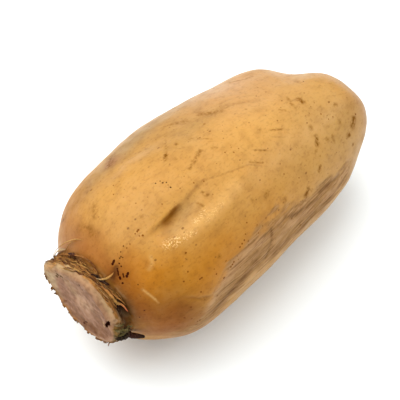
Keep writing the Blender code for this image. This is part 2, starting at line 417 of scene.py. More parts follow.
# Pores of the cut: (angle, radius), half width, depth and how dark they are
PORES = (
    ((78.0, 16.3), 1.50, 1.1, 1.00),
    ((-54.0, 16.0), 1.20, 0.6, 0.70),
    ((172.0, 12.4), 0.70, 0.5, 0.80),
    ((1.6, 17.4), 0.60, 0.5, 0.70),
    ((7.0, 12.5), 0.50, 0.3, 0.40),
    ((-68.0, 7.6), 0.50, 0.3, 0.35),
    ((25.7, 18.2), 0.42, 0.5, 0.80),
    ((30.0, 18.2), 0.42, 0.5, 0.80),
    ((34.6, 18.2), 0.42, 0.5, 0.70),
    ((-122.5, 13.9), 0.50, 0.4, 0.60),
    ((-131.0, 12.6), 0.50, 0.4, 0.60),
    ((66.7, 18.0), 0.50, 0.5, 0.70),
    ((72.0, 18.4), 0.50, 0.5, 0.70),
    ((64.0, 10.7), 0.50, 0.3, 0.35),
    ((125.6, 13.8), 0.40, 0.3, 0.50),
    ((117.0, 14.6), 0.40, 0.3, 0.50),
    ((113.4, 16.9), 0.50, 0.4, 0.60),
    ((173.0, 16.9), 0.50, 0.5, 0.70),
)
# How ragged a pore's edge is, the size of its raggedness, and where its dark ends as shares of its half width
PORE_RAGGED = (0.35, 0.9)
PORE_EDGE = (0.7, 1.2)
# The collar's shreds: height, length, width and how sharp they are. Its lumps: height and size
COLLAR_SHREDS = (0.55, 5.0, 0.9, 2.2)
COLLAR_LUMPS = (0.55, 4.5)
# Where the torn collar begins and ends, from the cut
COLLAR_START = (0.3, 1.2)
COLLAR_END = (7.0, 10.0)
# The rim's raggedness: how far it goes in and out, a tooth's length, and where it dies away behind the rim
RIM_TEETH = (0.65, 1.5)
TEETH_FADE = (0.8, 4.5)
# The arc where it is strongest, as (angle, reach in degrees), and how strong it is elsewhere
RAGGED_ARC = (210.0, 75.0)
LEAST_RAGGED = 0.3
# Round one arc the cut runs on over the rim: angle, half width in degrees, how far along and how far in
RIM_SLOPE = (12.0, 68.0, 2.9, 1.3)
# How soft the arc's ends are in degrees, and how ragged the slope's far edge is: how far and how long
SLOPE_SOFT = 8.0
SLOPE_RAGGED = (0.5, 2.0)
# The pale lobe at one side of the rim: angle, reach in degrees, how far it stands out and where it dies away
RIM_LOBE = (-84.0, 18.0, 1.8)
LOBE_FADE = (2.0, 6.0)
# Where the slope's drop begins and ends, from the cut
SLOPE_FADE = (0.2, RIM_SLOPE[2] + 0.4)
# How soon the cut's rows follow the rim outwards: the power of their share of the way to it
RIM_FOLLOW = 6


def patch(skin, place, reach, wander=1.0):
    """A soft patch round a place: 1 in its middle, fading over its reach along and round the root."""
    along = (skin.distance - place[0]) / reach[0]
    around = np.radians(turn_from(skin.angle, place[1])) * np.maximum(skin.radius, LEAST_RADIUS) / reach[1]
    return np.exp(-(along**2 + around**2) * wander)


def facing(skin, angle):
    """How far each column faces an angle, from 0 on the other side to 1."""
    return 0.5 + 0.5 * np.cos(np.radians(turn_from(skin.angle, angle)))


def node_patch(skin, place, reach):
    """A soft patch of the node, with its reach along the root in mm and round it in degrees."""
    return bump(skin.distance - place[0], reach[0]) * bump(turn_from(skin.angle, place[1]), reach[1])


def past_fold(skin):
    """How far each grid point is past the sharp edge of the pinched fold, in mm."""
    edges = np.array(FOLD_EDGE)
    edge = np.interp(skin.distance, edges[:, 0], edges[:, 1])
    return np.radians(turn_from(skin.angle, edge)) * skin.radius


def fold_relief(skin):
    """The pinched fold: it drops off a sharp edge and rises gently on its far side."""
    depths = np.array(FOLD_DEPTHS)
    aside = past_fold(skin)
    share = np.interp(skin.distance, depths[:, 0], depths[:, 1], left=0.0, right=0.0)
    far_side = bump(np.maximum(aside - FOLD_WALL, 0.0), FOLD_BASIN)
    return -FOLD_DEPTH * share * smoothstep(0.0, FOLD_WALL, aside) * far_side


def scuff_share(skin):
    """How scuffed the skin is, from 0 to 1."""
    band = np.array(SCUFF_BAND)
    middle = np.interp(skin.distance, band[:, 0], band[:, 1])
    half = np.interp(skin.distance, band[:, 0], band[:, 2])
    inside = fade(*SCUFF_EDGE, np.abs(turn_from(skin.angle, middle)) / half + skin.ragged)
    return inside * smoothstep(*SCUFF_START, skin.distance) * fade(*SCUFF_END, skin.distance)


def drawn_out(skin, length, width):
    """Coordinates for noise that is drawn out along the root: length by width, in mm."""
    turned = np.radians(skin.angle)
    up = skin.radius * np.cos(turned) / width
    aside = skin.radius * np.sin(turned) / width
    return np.stack([skin.distance / length, up, aside], axis=-1)


def wound_round(skin, length, width):
    """Coordinates for noise that is drawn out round the node: length by width, in mm."""
    turned = np.radians(skin.angle)
    ring = np.stack([np.cos(turned) * NODE_RADIUS / length, np.sin(turned) * NODE_RADIUS / length], axis=-1)
    ring = np.broadcast_to(ring, (*skin.distance.shape, 2))
    return np.concatenate([ring, (skin.distance / width)[..., None]], axis=-1)


def lumps(skin, size, kind):
    """Noise over the surface with features about size mm across."""
    return noise_at(skin.points / (size * MM), kind)


def body_relief(skin):
    """How far the body's surface stands out, and how dark its creases are."""
    relief = fold_relief(skin)
    stain = np.zeros(relief.shape)
    for place, reach, height in SWELLS:
        relief += height * patch(skin, place, reach)
    for path, reach, depth in FOLDS:
        relief -= depth * skin.line(path, reach)
    for path, reach, _, _, height in SCUFFS:
        relief += height * skin.line(path, reach)
    for path, reach, depth, dark in CREASES:
        gap, share = skin.gap_to(path)
        ends = np.sin(np.pi * (share * (1.0 - 2.0 * CREASE_END) + CREASE_END)) ** 0.5
        relief -= depth * bump(gap, reach) * ends
        stain = np.maximum(stain, dark * bump(gap, reach) * ends)
    relief += SKIN_SWELL[0] * lumps(skin, SKIN_SWELL[1], "swell")
    relief += SKIN_DIMPLE[0] * lumps(skin, SKIN_DIMPLE[1], "dimple")
    grooves = sum(share * noise_at(drawn_out(skin, *size), kind) for share, *size, kind in SCUFF_GROOVES)
    relief += SCUFF_RELIEF * skin.scuff * grooves
    return relief, stain


def collar_relief(skin):
    """The torn side of the collar, and the crease behind it."""
    middle, half, depth = NECK_CREASE
    angle, spread, deeper = NECK_RECESS
    recess = depth + deeper * bump(turn_from(skin.angle, angle), spread)
    relief = -recess * bump(skin.distance - middle, half)
    place, reach, height = NODE_LUMP
    relief += height * node_patch(skin, place, reach)
    size, length, width, sharp = COLLAR_SHREDS
    torn = smoothstep(*COLLAR_START, skin.distance) * fade(*COLLAR_END, skin.distance)
    relief += size * torn * (1.0 - sharp * np.abs(noise_at(wound_round(skin, length, width), "shreds")))
    return relief + COLLAR_LUMPS[0] * torn * lumps(skin, COLLAR_LUMPS[1], "collar lumps")


def slope_share(skin):
    """How far the cut runs on over the rim at each angle, from 0 to 1."""
    away = np.abs(turn_from(skin.angle, RIM_SLOPE[0]))
    return fade(RIM_SLOPE[1] - SLOPE_SOFT, RIM_SLOPE[1] + SLOPE_SOFT, away)


def shift_rim(skin):
    """Moves the rim of the cut in and out: its ragged edge, its lobe and the slope over it."""
    size, length = RIM_TEETH
    middle, spread = RAGGED_ARC
    ragged = LEAST_RAGGED + (1.0 - LEAST_RAGGED) * bump(turn_from(skin.angle, middle), spread)
    teeth = size * ragged * noise_at(skin.outward * NODE_RADIUS / length, "rim")
    middle, spread, height = RIM_LOBE
    lobe = height * bump(turn_from(skin.angle, middle), spread) * fade(*LOBE_FADE, skin.distance)
    rows = np.arange(skin.points.shape[0])[:, None]
    inner = np.clip((rows + 0.5) / FACE_ROWS, 0.0, 1.0) ** RIM_FOLLOW
    slope = RIM_SLOPE[3] * slope_share(skin) * fade(*SLOPE_FADE, skin.distance)
    shift = (teeth * fade(*TEETH_FADE, skin.distance) + lobe - slope) * inner
    skin.points = skin.points + skin.outward * shift[..., None] * MM
    skin.measure()


def cut_tissue(skin):
    """Which grid points are cut tissue: the cut itself and the slope over its rim."""
    rows = np.arange(skin.points.shape[0])[:, None]
    size, length = SLOPE_RAGGED
    ragged = size * noise_at(skin.outward * NODE_RADIUS / length, "slope edge")
    edge = RIM_SLOPE[2] * slope_share(skin) + ragged
    return (rows < FACE_ROWS) | (skin.distance < edge)


def face_spots(skin):
    """Across and up the cut from its middle, in mm."""
    middle = skin.middle(0.0)
    return (skin.points[..., 1] - middle[1]) / MM, (skin.points[..., 2] - middle[2]) / MM


def pore_gap(skin, angle, radius):
    """Each grid point's gap to a pore of the cut."""
    across, up = face_spots(skin)
    turned = math.radians(angle)
    return np.hypot(across + radius * math.sin(turned), up - radius * math.cos(turned))


def face_relief(skin):
    """How far the cut stands out: scraped by the knife, with a raised rim and pores. Also how dark it is."""
    across, up = face_spots(skin)
    share = np.hypot(across, up) * MM / skin.rim
    relief = RIM_RAISE * (RIM_RAISE_LEAST + facing(skin, RIM_RAISE_ANGLE)) * smoothstep(*RIM_BAND, share)
    along = across * math.cos(SCRAPE_TURN) + up * math.sin(SCRAPE_TURN)
    aside = up * math.cos(SCRAPE_TURN) - across * math.sin(SCRAPE_TURN)
    depth, length, width = SCRAPES
    relief += depth * noise_at(np.stack([along / length, aside / width, share], axis=-1), "scrapes")
    relief += FACE_LUMPS[0] * lumps(skin, FACE_LUMPS[1], "cut lumps")
    stain = np.zeros(relief.shape)
    ragged = 1.0 + PORE_RAGGED[0] * lumps(skin, PORE_RAGGED[1], "pore edges")
    for place, reach, deep, dark in PORES:
        gap = pore_gap(skin, *place) * ragged
        relief -= deep * bump(gap, reach)
        stain = np.maximum(stain, dark * fade(*PORE_EDGE, gap / reach))
    return relief, stain


# ---------------------------------------------------------------- Colours, as sRGB bytes
OCHRE = (184, 134, 62)
DEEP_OCHRE = (180, 114, 10)
WARM_OCHRE = (200, 150, 76)
WARM_ORANGE = (196, 122, 26)
ORANGE_BROWN = (154, 90, 30)
DARK_AMBER = (112, 56, 6)
PALE_TAN = (180, 138, 76)
PINK_TAN = (184, 142, 98)
SCUFFED = (153, 114, 70)
GREY_TAN = (152, 118, 66)
SHOULDER_RED = (148, 84, 36)
MAUVE = (164, 120, 84)
CREAM = (190, 158, 112)
FACE_MAUVE = (144, 102, 76)
FACE_TAN = (160, 118, 86)
FACE_PALE = (188, 146, 114)
FACE_LOW = (120, 74, 38)
PORE_DARK = (26, 6, 2)
PORE_OLIVE = (74, 50, 20)
FACE_GREY = (182, 154, 118)
FACE_DARK = (122, 82, 52)
OLIVE = (140, 98, 40)
TORN_TAN = (176, 118, 58)
MAROON = (52, 20, 12)
BROWN_STAIN = (116, 70, 14)
PALE_SCUFF = (184, 142, 98)
DARK_SCUFF = (114, 74, 34)
NECK_BROWN = (84, 42, 10)
# Painted shade of the recess behind the collar, also the colour of a real brown mark near it
RECESS_SHADE_AND_MARK_BROWN = (40, 16, 2)
# Painted shade on the fold's steep wall and edge, over some brown of the skin
WEDGE_SHADE_AND_STAIN_BROWN = (124, 70, 0)
# Painted highlight on the ridge and on small raised folds
RIDGE_HIGHLIGHT_PALE = (206, 160, 92)
SPECK_BLACK = (52, 12, 2)
# Painted highlight: the cream of the glints on the ridge
PAINTED_GLINT_CREAM = (250, 214, 150)
STRAW = (184, 138, 72)
HUSK_BROWN = (110, 64, 26)
HUSK_GREEN = (92, 80, 42)
HUSK_GREY = (146, 118, 86)
ROOT_PINK = (190, 84, 58)
NEAR_BLACK = (34, 22, 12)

# Patches of the skin, some of them painted shade as noted: place, reach along and round the root in mm,
# colour and strength
PATCHES = (
    ((40, 62), (24, 15), DEEP_OCHRE, 0.90),
    ((72, 62), (22, 9), DEEP_OCHRE, 0.45),
    ((22, 44), (9, 9), DEEP_OCHRE, 0.75),
    ((12, -25), (7, 22), ORANGE_BROWN, 0.80),
    ((12, 30), (4, 14), ORANGE_BROWN, 0.75),
    ((12, 66), (5.5, 13), DARK_AMBER, 0.85),
    # These two rows darken the lower front side, which faces down: painted shade mixed with the skin's deeper
    # amber
    ((20, 82), (9, 14), DARK_AMBER, 0.60),
    ((26, 92), (12, 9), DARK_AMBER, 0.55),
    ((20, -56), (16, 12), ORANGE_BROWN, 0.55),
    ((52, -46), (20, 7), GREY_TAN, 0.55),
    ((78, -26), (14, 10), GREY_TAN, 0.50),
    ((70, -14), (10, 6), GREY_TAN, 0.25),
    ((110, -8), (24, 8), PINK_TAN, 0.50),
    ((134, 44), (10, 12), GREY_TAN, 0.35),
    ((108, -28), (14, 9), PINK_TAN, 0.45),
    ((12.2, 24), (3.4, 4.6), DARK_AMBER, 0.85),
    ((14, 36), (4, 5), DARK_AMBER, 0.55),
    ((72, -54), (44, 9), GREY_TAN, 0.60),
    # Painted shade mixed with deeper amber on the lower front
    ((24, 76), (10, 12), DARK_AMBER, 0.25),
    ((17, 98), (8, 12), SHOULDER_RED, 0.65),
    ((26, 120), (14, 10), MAUVE, 0.55),
    ((128, 30), (24, 34), PALE_TAN, 0.75),
    ((112, -38), (30, 14), PINK_TAN, 0.70),
    ((100, 40), (12, 8), GREY_TAN, 0.20),
    ((66, -46), (26, 4), GREY_TAN, 0.60),
    ((48, -46), (4, 4), SHOULDER_RED, 0.50),
    ((88, -22), (12, 3), GREY_TAN, 0.35),
    ((50, 22), (9, 5), GREY_TAN, 0.22),
    ((100, 180), (60, 40), GREY_TAN, 0.55),
    ((30, 190), (22, 34), SHOULDER_RED, 0.30),
    ((60, -110), (50, 26), PINK_TAN, 0.35),
    ((150, 60), (9, 20), MAUVE, 0.40),
    ((94, 8), (26, 15), WARM_OCHRE, 0.55),
    ((17, 42), (6, 12), WARM_ORANGE, 0.50),
    ((28, -26), (7, 8), WARM_OCHRE, 0.40),
    # These two rows are painted shade that darkens the underside along the bottom edge
    ((33, 105), (8, 6), DARK_AMBER, 0.50),
    ((21, 105), (8, 5), DARK_AMBER, 0.35),
)
# Brown stains, the first row being painted shade on the fold's steep wall over some brown: path of places,
# radius in mm and strength
STAINS_AND_WALL_SHADE = (
    # Painted shade on the fold's steep wall, over some brown of the skin
    (((44.2, 16.6), (41.2, 17.2)), 0.90, 0.60),
    (((124.1, 7.8), (124.5, 11.9)), 1.20, 0.95),
    (((121, 1.4), (119.6, 7), (119.5, 12)), 0.80, 0.45),
    (((132.8, -7.3),), 1.00, 0.60),
    (((142.6, 12.7),), 1.10, 0.40),
    (((150, 21.7),), 1.80, 0.35),
    (((135.2, 29.6),), 0.90, 0.60),
    (((132.1, 42.9),), 0.80, 0.60),
    (((144.3, 41.8),), 1.00, 0.40),
    (((138.9, 49.7), (136.7, 54.1)), 1.30, 0.95),
    (((133.2, 56.8),), 1.35, 0.95),
    (((133.7, 67.7),), 0.80, 0.80),
    (((117.4, 38.6), (115.3, 43.4)), 1.00, 0.85),
    (((113.2, 46.3),), 0.90, 0.55),
    (((113.6, 51.6),), 0.55, 0.75),
    (((111.3, 57.3), (109.6, 59.7)), 0.80, 0.70),
    (((121.5, 45.3),), 0.80, 0.70),
    (((124.7, 46.3), (123.5, 52.3)), 0.60, 0.45),
    (((118, 30.9),), 0.80, 0.60),
    (((125.4, 38.2),), 0.60, 0.40),
    (((97.5, 67.9), (100.5, 64.5)), 1.15, 0.95),
    (((102.1, 67.4),), 0.90, 0.55),
    (((94.3, 71.0), (96.7, 68.6)), 0.80, 0.60),
    (((96.9, 54.5),), 0.60, 0.60),
    (((87.6, 41.4),), 0.50, 0.60),
    (((86.9, 57.3),), 1.60, 0.50),
    (((81.4, 44.2), (78.1, 46.8)), 0.70, 0.60),
    (((72.8, 42.2),), 0.75, 0.65),
    (((57.6, 18.9), (57.0, 22.3), (58.6, 22.5)), 0.55, 0.60),
    (((52.7, 22.9), (53.3, 26.2)), 0.55, 0.50),
    (((84.1, -17.9),), 0.90, 0.60),
    (((102.5, -8.9),), 0.60, 0.45),
    (((97.5, 10.1),), 0.60, 0.55),
    (((101.4, 14.5), (106.1, 18.8)), 0.45, 0.55),
    (((112.8, 6.7), (114.9, 9.3)), 0.50, 0.45),
    (((75.3, 1.7), (77.3, 3.8)), 0.50, 0.45),
    (((88.7, 19.3), (92.9, 23.4)), 0.40, 0.60),
    (((83, 23.1), (88.1, 28.8)), 0.40, 0.50),
    (((50.7, -53.2), (45.3, -44.6)), 2.20, 0.70),
    (((56.6, -33.0),), 0.60, 0.50),
    (((39, -10.5),), 0.80, 0.55),
    (((32.1, 7.0),), 1.20, 0.55),
    (((60.2, -14.2), (57.4, -11.0)), 0.65, 0.90),
    (((67.1, -15.9),), 0.75, 0.80),
    (((60.9, -7.0),), 0.65, 0.70),
    (((70.9, -1.8), (65.7, 1.5), (61.3, 3.6)), 0.75, 0.55),
    (((61.9, 3.4), (60.9, 3.8)), 0.60, 0.60),
    (((72, -13), (73.3, -13.4), (78.6, -3.7)), 0.55, 0.32),
    (((67, -24.7), (61, -15)), 0.40, 0.45),
    (((46.6, 56.5),), 1.00, 0.55),
    (((38.9, 49.1),), 0.60, 0.55),
    (((34.7, 41.9),), 0.80, 0.45),
    (((33.2, 78.6), (35.5, 80.3)), 0.80, 0.65),
    (((113.9, -44.4), (118.8, -38.1), (122.4, -38)), 0.60, 0.50),
    (((97.1, -19.5), (102.3, -18.8)), 0.40, 0.40),
    (((87.8, -27.3), (91.8, -22.8), (95.1, -19)), 1.30, 0.45),
    (((72.8, -36.7), (80.9, -29.7)), 1.60, 0.40),
    (((20, 53),), 1.20, 0.40),
    (((17, -16.5), (18, -26), (16.5, -34)), 2.40, 0.45),
    (((22, -22), (25, -28)), 1.60, 0.40),
    (((31, -44), (36, -52)), 2.00, 0.40),
)
# How many stains are scattered over the hidden sides, from where to where along and round the root
HIDDEN_STAINS = 70
HIDDEN_ALONG = (18.0, 148.0)
HIDDEN_ROUND = (118.0, 300.0)
# How far a stain's other end can be, its radius and its strength
HIDDEN_REACH = (4.0, 5.0)
HIDDEN_RADIUS = (0.4, 1.3)
HIDDEN_STRENGTH = (0.3, 0.8)
STAIN_SEED = 9
# Streaks of the scuffed side: path of places, reach in mm, colour, strength and how far they stand out in mm
SCUFFS = (
    (((36, 90), (42, 79), (52, 70), (61, 67), (68, 68)), 2.6, PALE_SCUFF, 0.65, 0.10),
    (((40, 101), (46, 95), (52, 89), (57, 85), (63, 82)), 2.2, DARK_SCUFF, 0.75, -0.12),
    (((44, 88), (50, 81), (57, 76), (64, 74)), 1.6, SCUFFED, 0.70, 0.00),
    (((69, 87), (71.5, 80), (74, 72), (74.7, 66)), 0.7, DARK_SCUFF, 0.90, -0.10),
    (((62, 88), (68, 84), (72, 78)), 1.4, SCUFFED, 0.60, 0.00),
    (((76, 80), (84, 77), (92, 80), (100, 84)), 2.2, PALE_SCUFF, 0.60, 0.10),
    (((74, 90), (82, 92), (92, 95), (102, 92)), 2.0, DARK_SCUFF, 0.50, -0.10),
    (((88, 72), (96, 76), (104, 79)), 1.0, DARK_SCUFF, 0.50, -0.06),
    (((106, 75), (112, 76), (120, 78)), 0.9, DARK_SCUFF, 0.70, -0.10),
    (((108, 84), (116, 85), (126, 82)), 1.4, PALE_SCUFF, 0.70, 0.12),
    (((106, 90), (114, 91), (124, 88)), 1.0, DARK_SCUFF, 0.50, -0.10),
)
# Strokes over the pinched fold: painted shade on its wall and edge, a darker grey-tan past it, painted
# highlights on its ridge (pale rows) and one real brown mark: path of places, reach in mm, colour and
# strength
SHADE_HIGHLIGHT_AND_MARK_STROKES = (
    (((45.8, 16.4), (42.4, 17.0)), 1.2, WEDGE_SHADE_AND_STAIN_BROWN, 0.85),
    (((43.0, 17.2), (40.0, 18.2), (37.4, 19.4)), 1.9, WEDGE_SHADE_AND_STAIN_BROWN, 0.85),
    (((39.5, 19.8), (37.0, 21.8), (35.0, 23.0)), 2.2, WEDGE_SHADE_AND_STAIN_BROWN, 0.40),
    (((44.6, 16.9), (42.6, 17.4), (41.0, 18.0)), 0.8, WEDGE_SHADE_AND_STAIN_BROWN, 0.70),
    (((19, 14.6), (24, 17.4), (30, 18.4), (36, 18.2)), 1.1, WEDGE_SHADE_AND_STAIN_BROWN, 0.25),
    (((47, 17.4), (54, 15.8), (62, 14.4)), 0.6, WEDGE_SHADE_AND_STAIN_BROWN, 0.30),
    (((48, 21), (42, 25), (37, 27)), 3.4, GREY_TAN, 0.45),
    # A real brown mark, not shade
    (((13.4, 19.5), (12.2, 22.5), (10.4, 26)), 1.3, RECESS_SHADE_AND_MARK_BROWN, 0.60),
    # The pale rows are painted highlights
    (((15.4, 50), (17.2, 62)), 0.5, RIDGE_HIGHLIGHT_PALE, 0.60),
    (((16.0, 54), (17.6, 66)), 0.4, RIDGE_HIGHLIGHT_PALE, 0.50),
    (((24, 31), (23, 35), (20.8, 37.6)), 0.9, RIDGE_HIGHLIGHT_PALE, 0.50),
    (((40, 33), (50, 33), (60, 31), (70, 29)), 3.0, RIDGE_HIGHLIGHT_PALE, 0.50),
)
# Dots of the skin: colour, strength, radius in mm and their places
DOTS = (
    (SPECK_BLACK, 0.97, 0.56, (
        (13.4, 15.2), (13.9, 14.8), (14.4, 14.4), (12.1, 30.4), (14.1, 32.4), (14.6, 31.4),
    )),
    (SPECK_BLACK, 0.97, 0.48, (
        (13.9, 32.9), (14.9, 30.9), (11.7, 36.2), (12.2, 29.6), (12.0, 31.0),
    )),
    (SPECK_BLACK, 0.95, 0.38, (
        (13.4, 21.8), (13.1, 23.2), (12.9, 24.5), (12.6, 25.8), (12.4, 27.0), (13.6, 29.0), (13.4, 30.2),
        (13.2, 31.4), (14.9, 19.5), (14.7, 22.4), (48.2, 0.1), (48.9, 5.4),
    )),
    (SPECK_BLACK, 0.90, 0.31, (
        (16.2, 16.6), (16.8, 16.5), (17.0, 18.0), (17.8, 13.7), (19.8, 12.1), (48.1, -1.8), (46.1, -2.6),
        (49.4, 1.4), (13.0, 71.5), (11.0, 81.0), (15.1, 44.0), (134.9, -4.5),
    )),
    (DARK_AMBER, 0.90, 0.42, (
        (26.8, 11.8), (27.5, 11.7), (27.2, 16.3), (32.1, 53.1), (28.9, 57.8), (35.2, 42.0), (42.3, 66.1),
        (45.0, 72.8), (56.9, 60.7), (58.4, 59.8), (60.0, 58.7), (51.7, 66.9), (50.7, 67.8), (49.7, 68.7),
        (35.0, 62.2), (35.9, 62.1), (27.8, 79.8), (30.4, 99.6), (31.5, 99.7), (33.4, 71.4), (24.6, 87.8),
        (27.5, 92.1), (140.8, 47.5),
    )),
    (DARK_AMBER, 0.75, 0.32, (
        (61.6, 55.9), (64.7, 50.5), (68.6, 56.5), (70.9, 59.8), (74.1, 57.1), (67.7, 61.8), (61.5, 61.2),
        (42.2, 61.9), (48.5, 62.5), (32.6, 86.0), (31.6, 90.9), (24.1, 94.7), (26.1, 101.2),
        (22.6, 92.0), (21.0, 97.0), (34.6, -2.0), (41.3, 9.8), (53.2, -41.2), (31.7, -41.5),
        (32.8, -19.5), (36.3, -25.0), (77.7, 9.0), (80.5, 12.2), (83.5, 12.2), (126.7, 27.6),
        (128.1, 34.4), (130.6, 35.6), (92.8, 42.9), (98.5, 52.5), (57.6, 12.0), (61.3, 15.0),
        (20.1, 15.0), (21.8, 14.6), (25.7, 11.9), (26.2, 15.0), (49.0, 3.3),
    )),
)
# Dots of the cut: colour, strength, radius in mm and their places, as (angle, radius)
CUT_DOTS = (
    (PORE_DARK, 1.00, 0.95, ((87.0, 14.9), (81.5, 15.6), (77.0, 16.3), (73.0, 17.1))),
    (MAROON, 0.80, 0.55, ((176.6, 13.7), (167.0, 11.3), (1.6, 17.6))),
    (PORE_OLIVE, 0.85, 0.75, ((-66.2, 15.0), (-60.0, 15.4), (-53.5, 15.8), (-47.0, 16.2))),
    (CREAM, 0.60, 0.60, ((90.0, 12.9), (96.0, 13.4))),
)
# Where painted glints and the fine bumps under them gather on the ridge: path of places, reach in mm and
# strength
GLINTS = (
    (((31.5, 31), (34, 32.5), (37, 33.5)), 1.7, 1.0),
    (((38, 34), (43, 35)), 1.1, 0.7),
    (((46, 31), (49.5, 30), (53, 29)), 1.1, 0.6),
    (((50, 34), (60, 32)), 1.0, 0.35),
)
# The size of the skin's mottling, and how much it breaks up the edges of patches, painted shade and highlight
# strokes, and stains
MOTTLE_SIZE = 9.0
MOTTLED_PATCH, MOTTLED_SHADE, MOTTLED_STAIN = 0.6, 0.3, 0.5
# How much of the raggedness of the scuffed side's edge is mottling, the rest of it, and its length and width
SCUFF_RAGGED = (0.4, 0.6, 9.0, 2.2)
# The scuffed side: how strong its colour is, how much of its strokes' reach varies, their length and width
SCUFF_TINT = 0.85
SCUFF_STROKES = (0.5, 14.0, 1.8)
# Finer streaks of the scuffed side: colour, strength, where they show in their noise, length, width and noise
FINE_SCUFFS = (
    (PALE_SCUFF, 0.5, (0.1, 0.5), 26.0, 2.6, "pale scuff"),
    (DARK_SCUFF, 0.35, (0.15, 0.5), 18.0, 1.5, "dark scuff"),
)
# The fold's strokes of painted shade and highlight end at its sharp edge, within this span
SHADE_END = (-0.3, 0.4)
# The crease behind the collar darkens the skin: strength and reach
NECK_TINT = (0.8, 2.6)
# How far the crease makes the skin matt, and how matt the scuffed side is
NECK_DULL = 4.0
SCUFF_DULL = 0.7
# Where the collar's colours give way to the skin's, and how much the mottling shifts it
SKIN_START = (7.2, 10.5)
SKIN_SHIFT = 1.5
# The collar's shreds: their length and width, and how much finer the dark ones are
SHRED_SIZE = (3.0, 0.7)
DARK_SHREDS = 1.7
# Where olive, cream and dark shreds begin and are full in their noise, and the strength of the last two
OLIVE_SPAN, CREAM_SPAN, DARK_SPAN = (-0.1, 0.25), (0.15, 0.45), (0.3, 0.5)
SHRED_STRENGTH = 0.6
# How far the dark of the crease behind the collar reaches over the collar
COLLAR_CREASE = 1.5
# The collar's patches: angle, reach in degrees, where they end from the cut, colour and strength
COLLAR_PATCHES = (
    (102.0, 16.0, (4.5, 7.0), HUSK_GREEN, 0.85),
    (-32.0, 16.0, (3.8, 5.4), CREAM, 0.80),
    (RIM_LOBE[0], 22.0, (3.5, 5.5), FACE_GREY, 0.80),
)
# The cut's clouds: their size, where they begin and are full in their noise, and their strength
CUT_CLOUD = 5.0
CLOUD_SPAN = (0.0, 0.45)
CLOUD_STRENGTH = 0.55
# The pale middle of the cut: its place across and up in mm, its reach and its strength
PALE_MIDDLE = (-1.0, 0.5)
PALE_REACH = 6.2
PALE_STRENGTH = 0.85
# The dark lower part of the cut: angle and reach in degrees, where it begins and ends as shares of the rim's
# radius, and its strength
LOW_ARC = (150.0, 60.0)
LOW_START, LOW_END = (0.40, 0.65), (0.86, 0.95)
LOW_STRENGTH = 0.90
# The tan upper edge of the cut: the angle that it faces, where it begins, and how much the clouds shift that
UPPER_ANGLE = 35.0
UPPER_START = (0.80, 0.92)
UPPER_SHIFT = 0.10
# The cream brink of the slope over the rim: how far before its end it is, its reach and its strength
BRINK = (0.6, 1.1, 0.85)
# How much weaker it gets between two angles, and how much stronger round one angle, with its reach in degrees
WEAK_BRINK = (0.50, (-34.0, -4.0))
STRONG_BRINK = (0.40, 50.0, 14.0)
# Patches by the cut's rim: angle, reach in degrees, where they begin as shares of the rim's radius, how much
# the clouds shift that, colour and strength
RIM_PATCHES = (
    (RIM_LOBE[0], 24.0, (0.66, 0.80), 0.0, FACE_GREY, 0.95),
    (172.0, 45.0, (0.84, 0.92), 0.0, FACE_PALE, 0.80),
    (205.0, 80.0, (0.90, 1.00), 0.2, HUSK_BROWN, 0.22),
)


def paint(red, green, blue):
    """An sRGB colour in bytes as a linear colour."""
    share = np.array((red, green, blue)) / 255.0
    return np.where(share <= 0.04045, share / 12.92, ((share + 0.055) / 1.055) ** 2.4)


def hidden_stains():
    """Stains of the sides that lie under and behind, scattered at random, as rows of the table of stains."""
    chance = random.Random(STAIN_SEED)
    rows = []
    for _ in range(HIDDEN_STAINS):
        start = chance.uniform(*HIDDEN_ALONG), chance.uniform(*HIDDEN_ROUND)
        end = tuple(here + chance.uniform(-reach, reach) for here, reach in zip(start, HIDDEN_REACH))
        rows.append(((start, end), chance.uniform(*HIDDEN_RADIUS), chance.uniform(*HIDDEN_STRENGTH)))
    return rows


def plain_tint(skin, colour):
    """One colour all over the grid."""
    return np.broadcast_to(paint(*colour), (*skin.distance.shape, 3))


def blend_in(tint, colour, share):
    """A tint with a share of another colour in it."""
    return tint + (paint(*colour) - tint) * share[..., None]


def skin_tint(skin):
    """The skin's colour before its fine mottling, with painted shade on the pinched fold, the lower front and
    the underside, and painted highlights on the ridge.
    """
    tint = plain_tint(skin, OCHRE)
    wander = 1.0 + MOTTLED_PATCH * skin.mottle
    for place, reach, colour, strength in PATCHES:
        tint = blend_in(tint, colour, strength * patch(skin, place, reach, wander))
    # Painted shade and painted highlights along the fold, and one real brown mark
    aside = smoothstep(*SHADE_END, past_fold(skin))
    ragged = 1.0 + MOTTLED_SHADE * skin.mottle
    for path, reach, colour, strength in SHADE_HIGHLIGHT_AND_MARK_STROKES:
        tint = blend_in(tint, colour, strength * aside * skin.line(path, reach, ragged))
    tint = blend_in(tint, SCUFFED, SCUFF_TINT * skin.scuff)
    for colour, strength, span, length, width, kind in FINE_SCUFFS:
        streaks = smoothstep(*span, noise_at(drawn_out(skin, length, width), kind)) * skin.scuff
        tint = blend_in(tint, colour, strength * streaks)
    varied, length, width = SCUFF_STROKES
    ragged = 1.0 + varied * noise_at(drawn_out(skin, length, width), "scuff strokes")
    for path, reach, colour, strength, _ in SCUFFS:
        tint = blend_in(tint, colour, strength * skin.line(path, reach, ragged))
    strength, reach = NECK_TINT
    return blend_in(tint, NECK_BROWN, strength * bump(skin.distance - NECK_CREASE[0], reach))


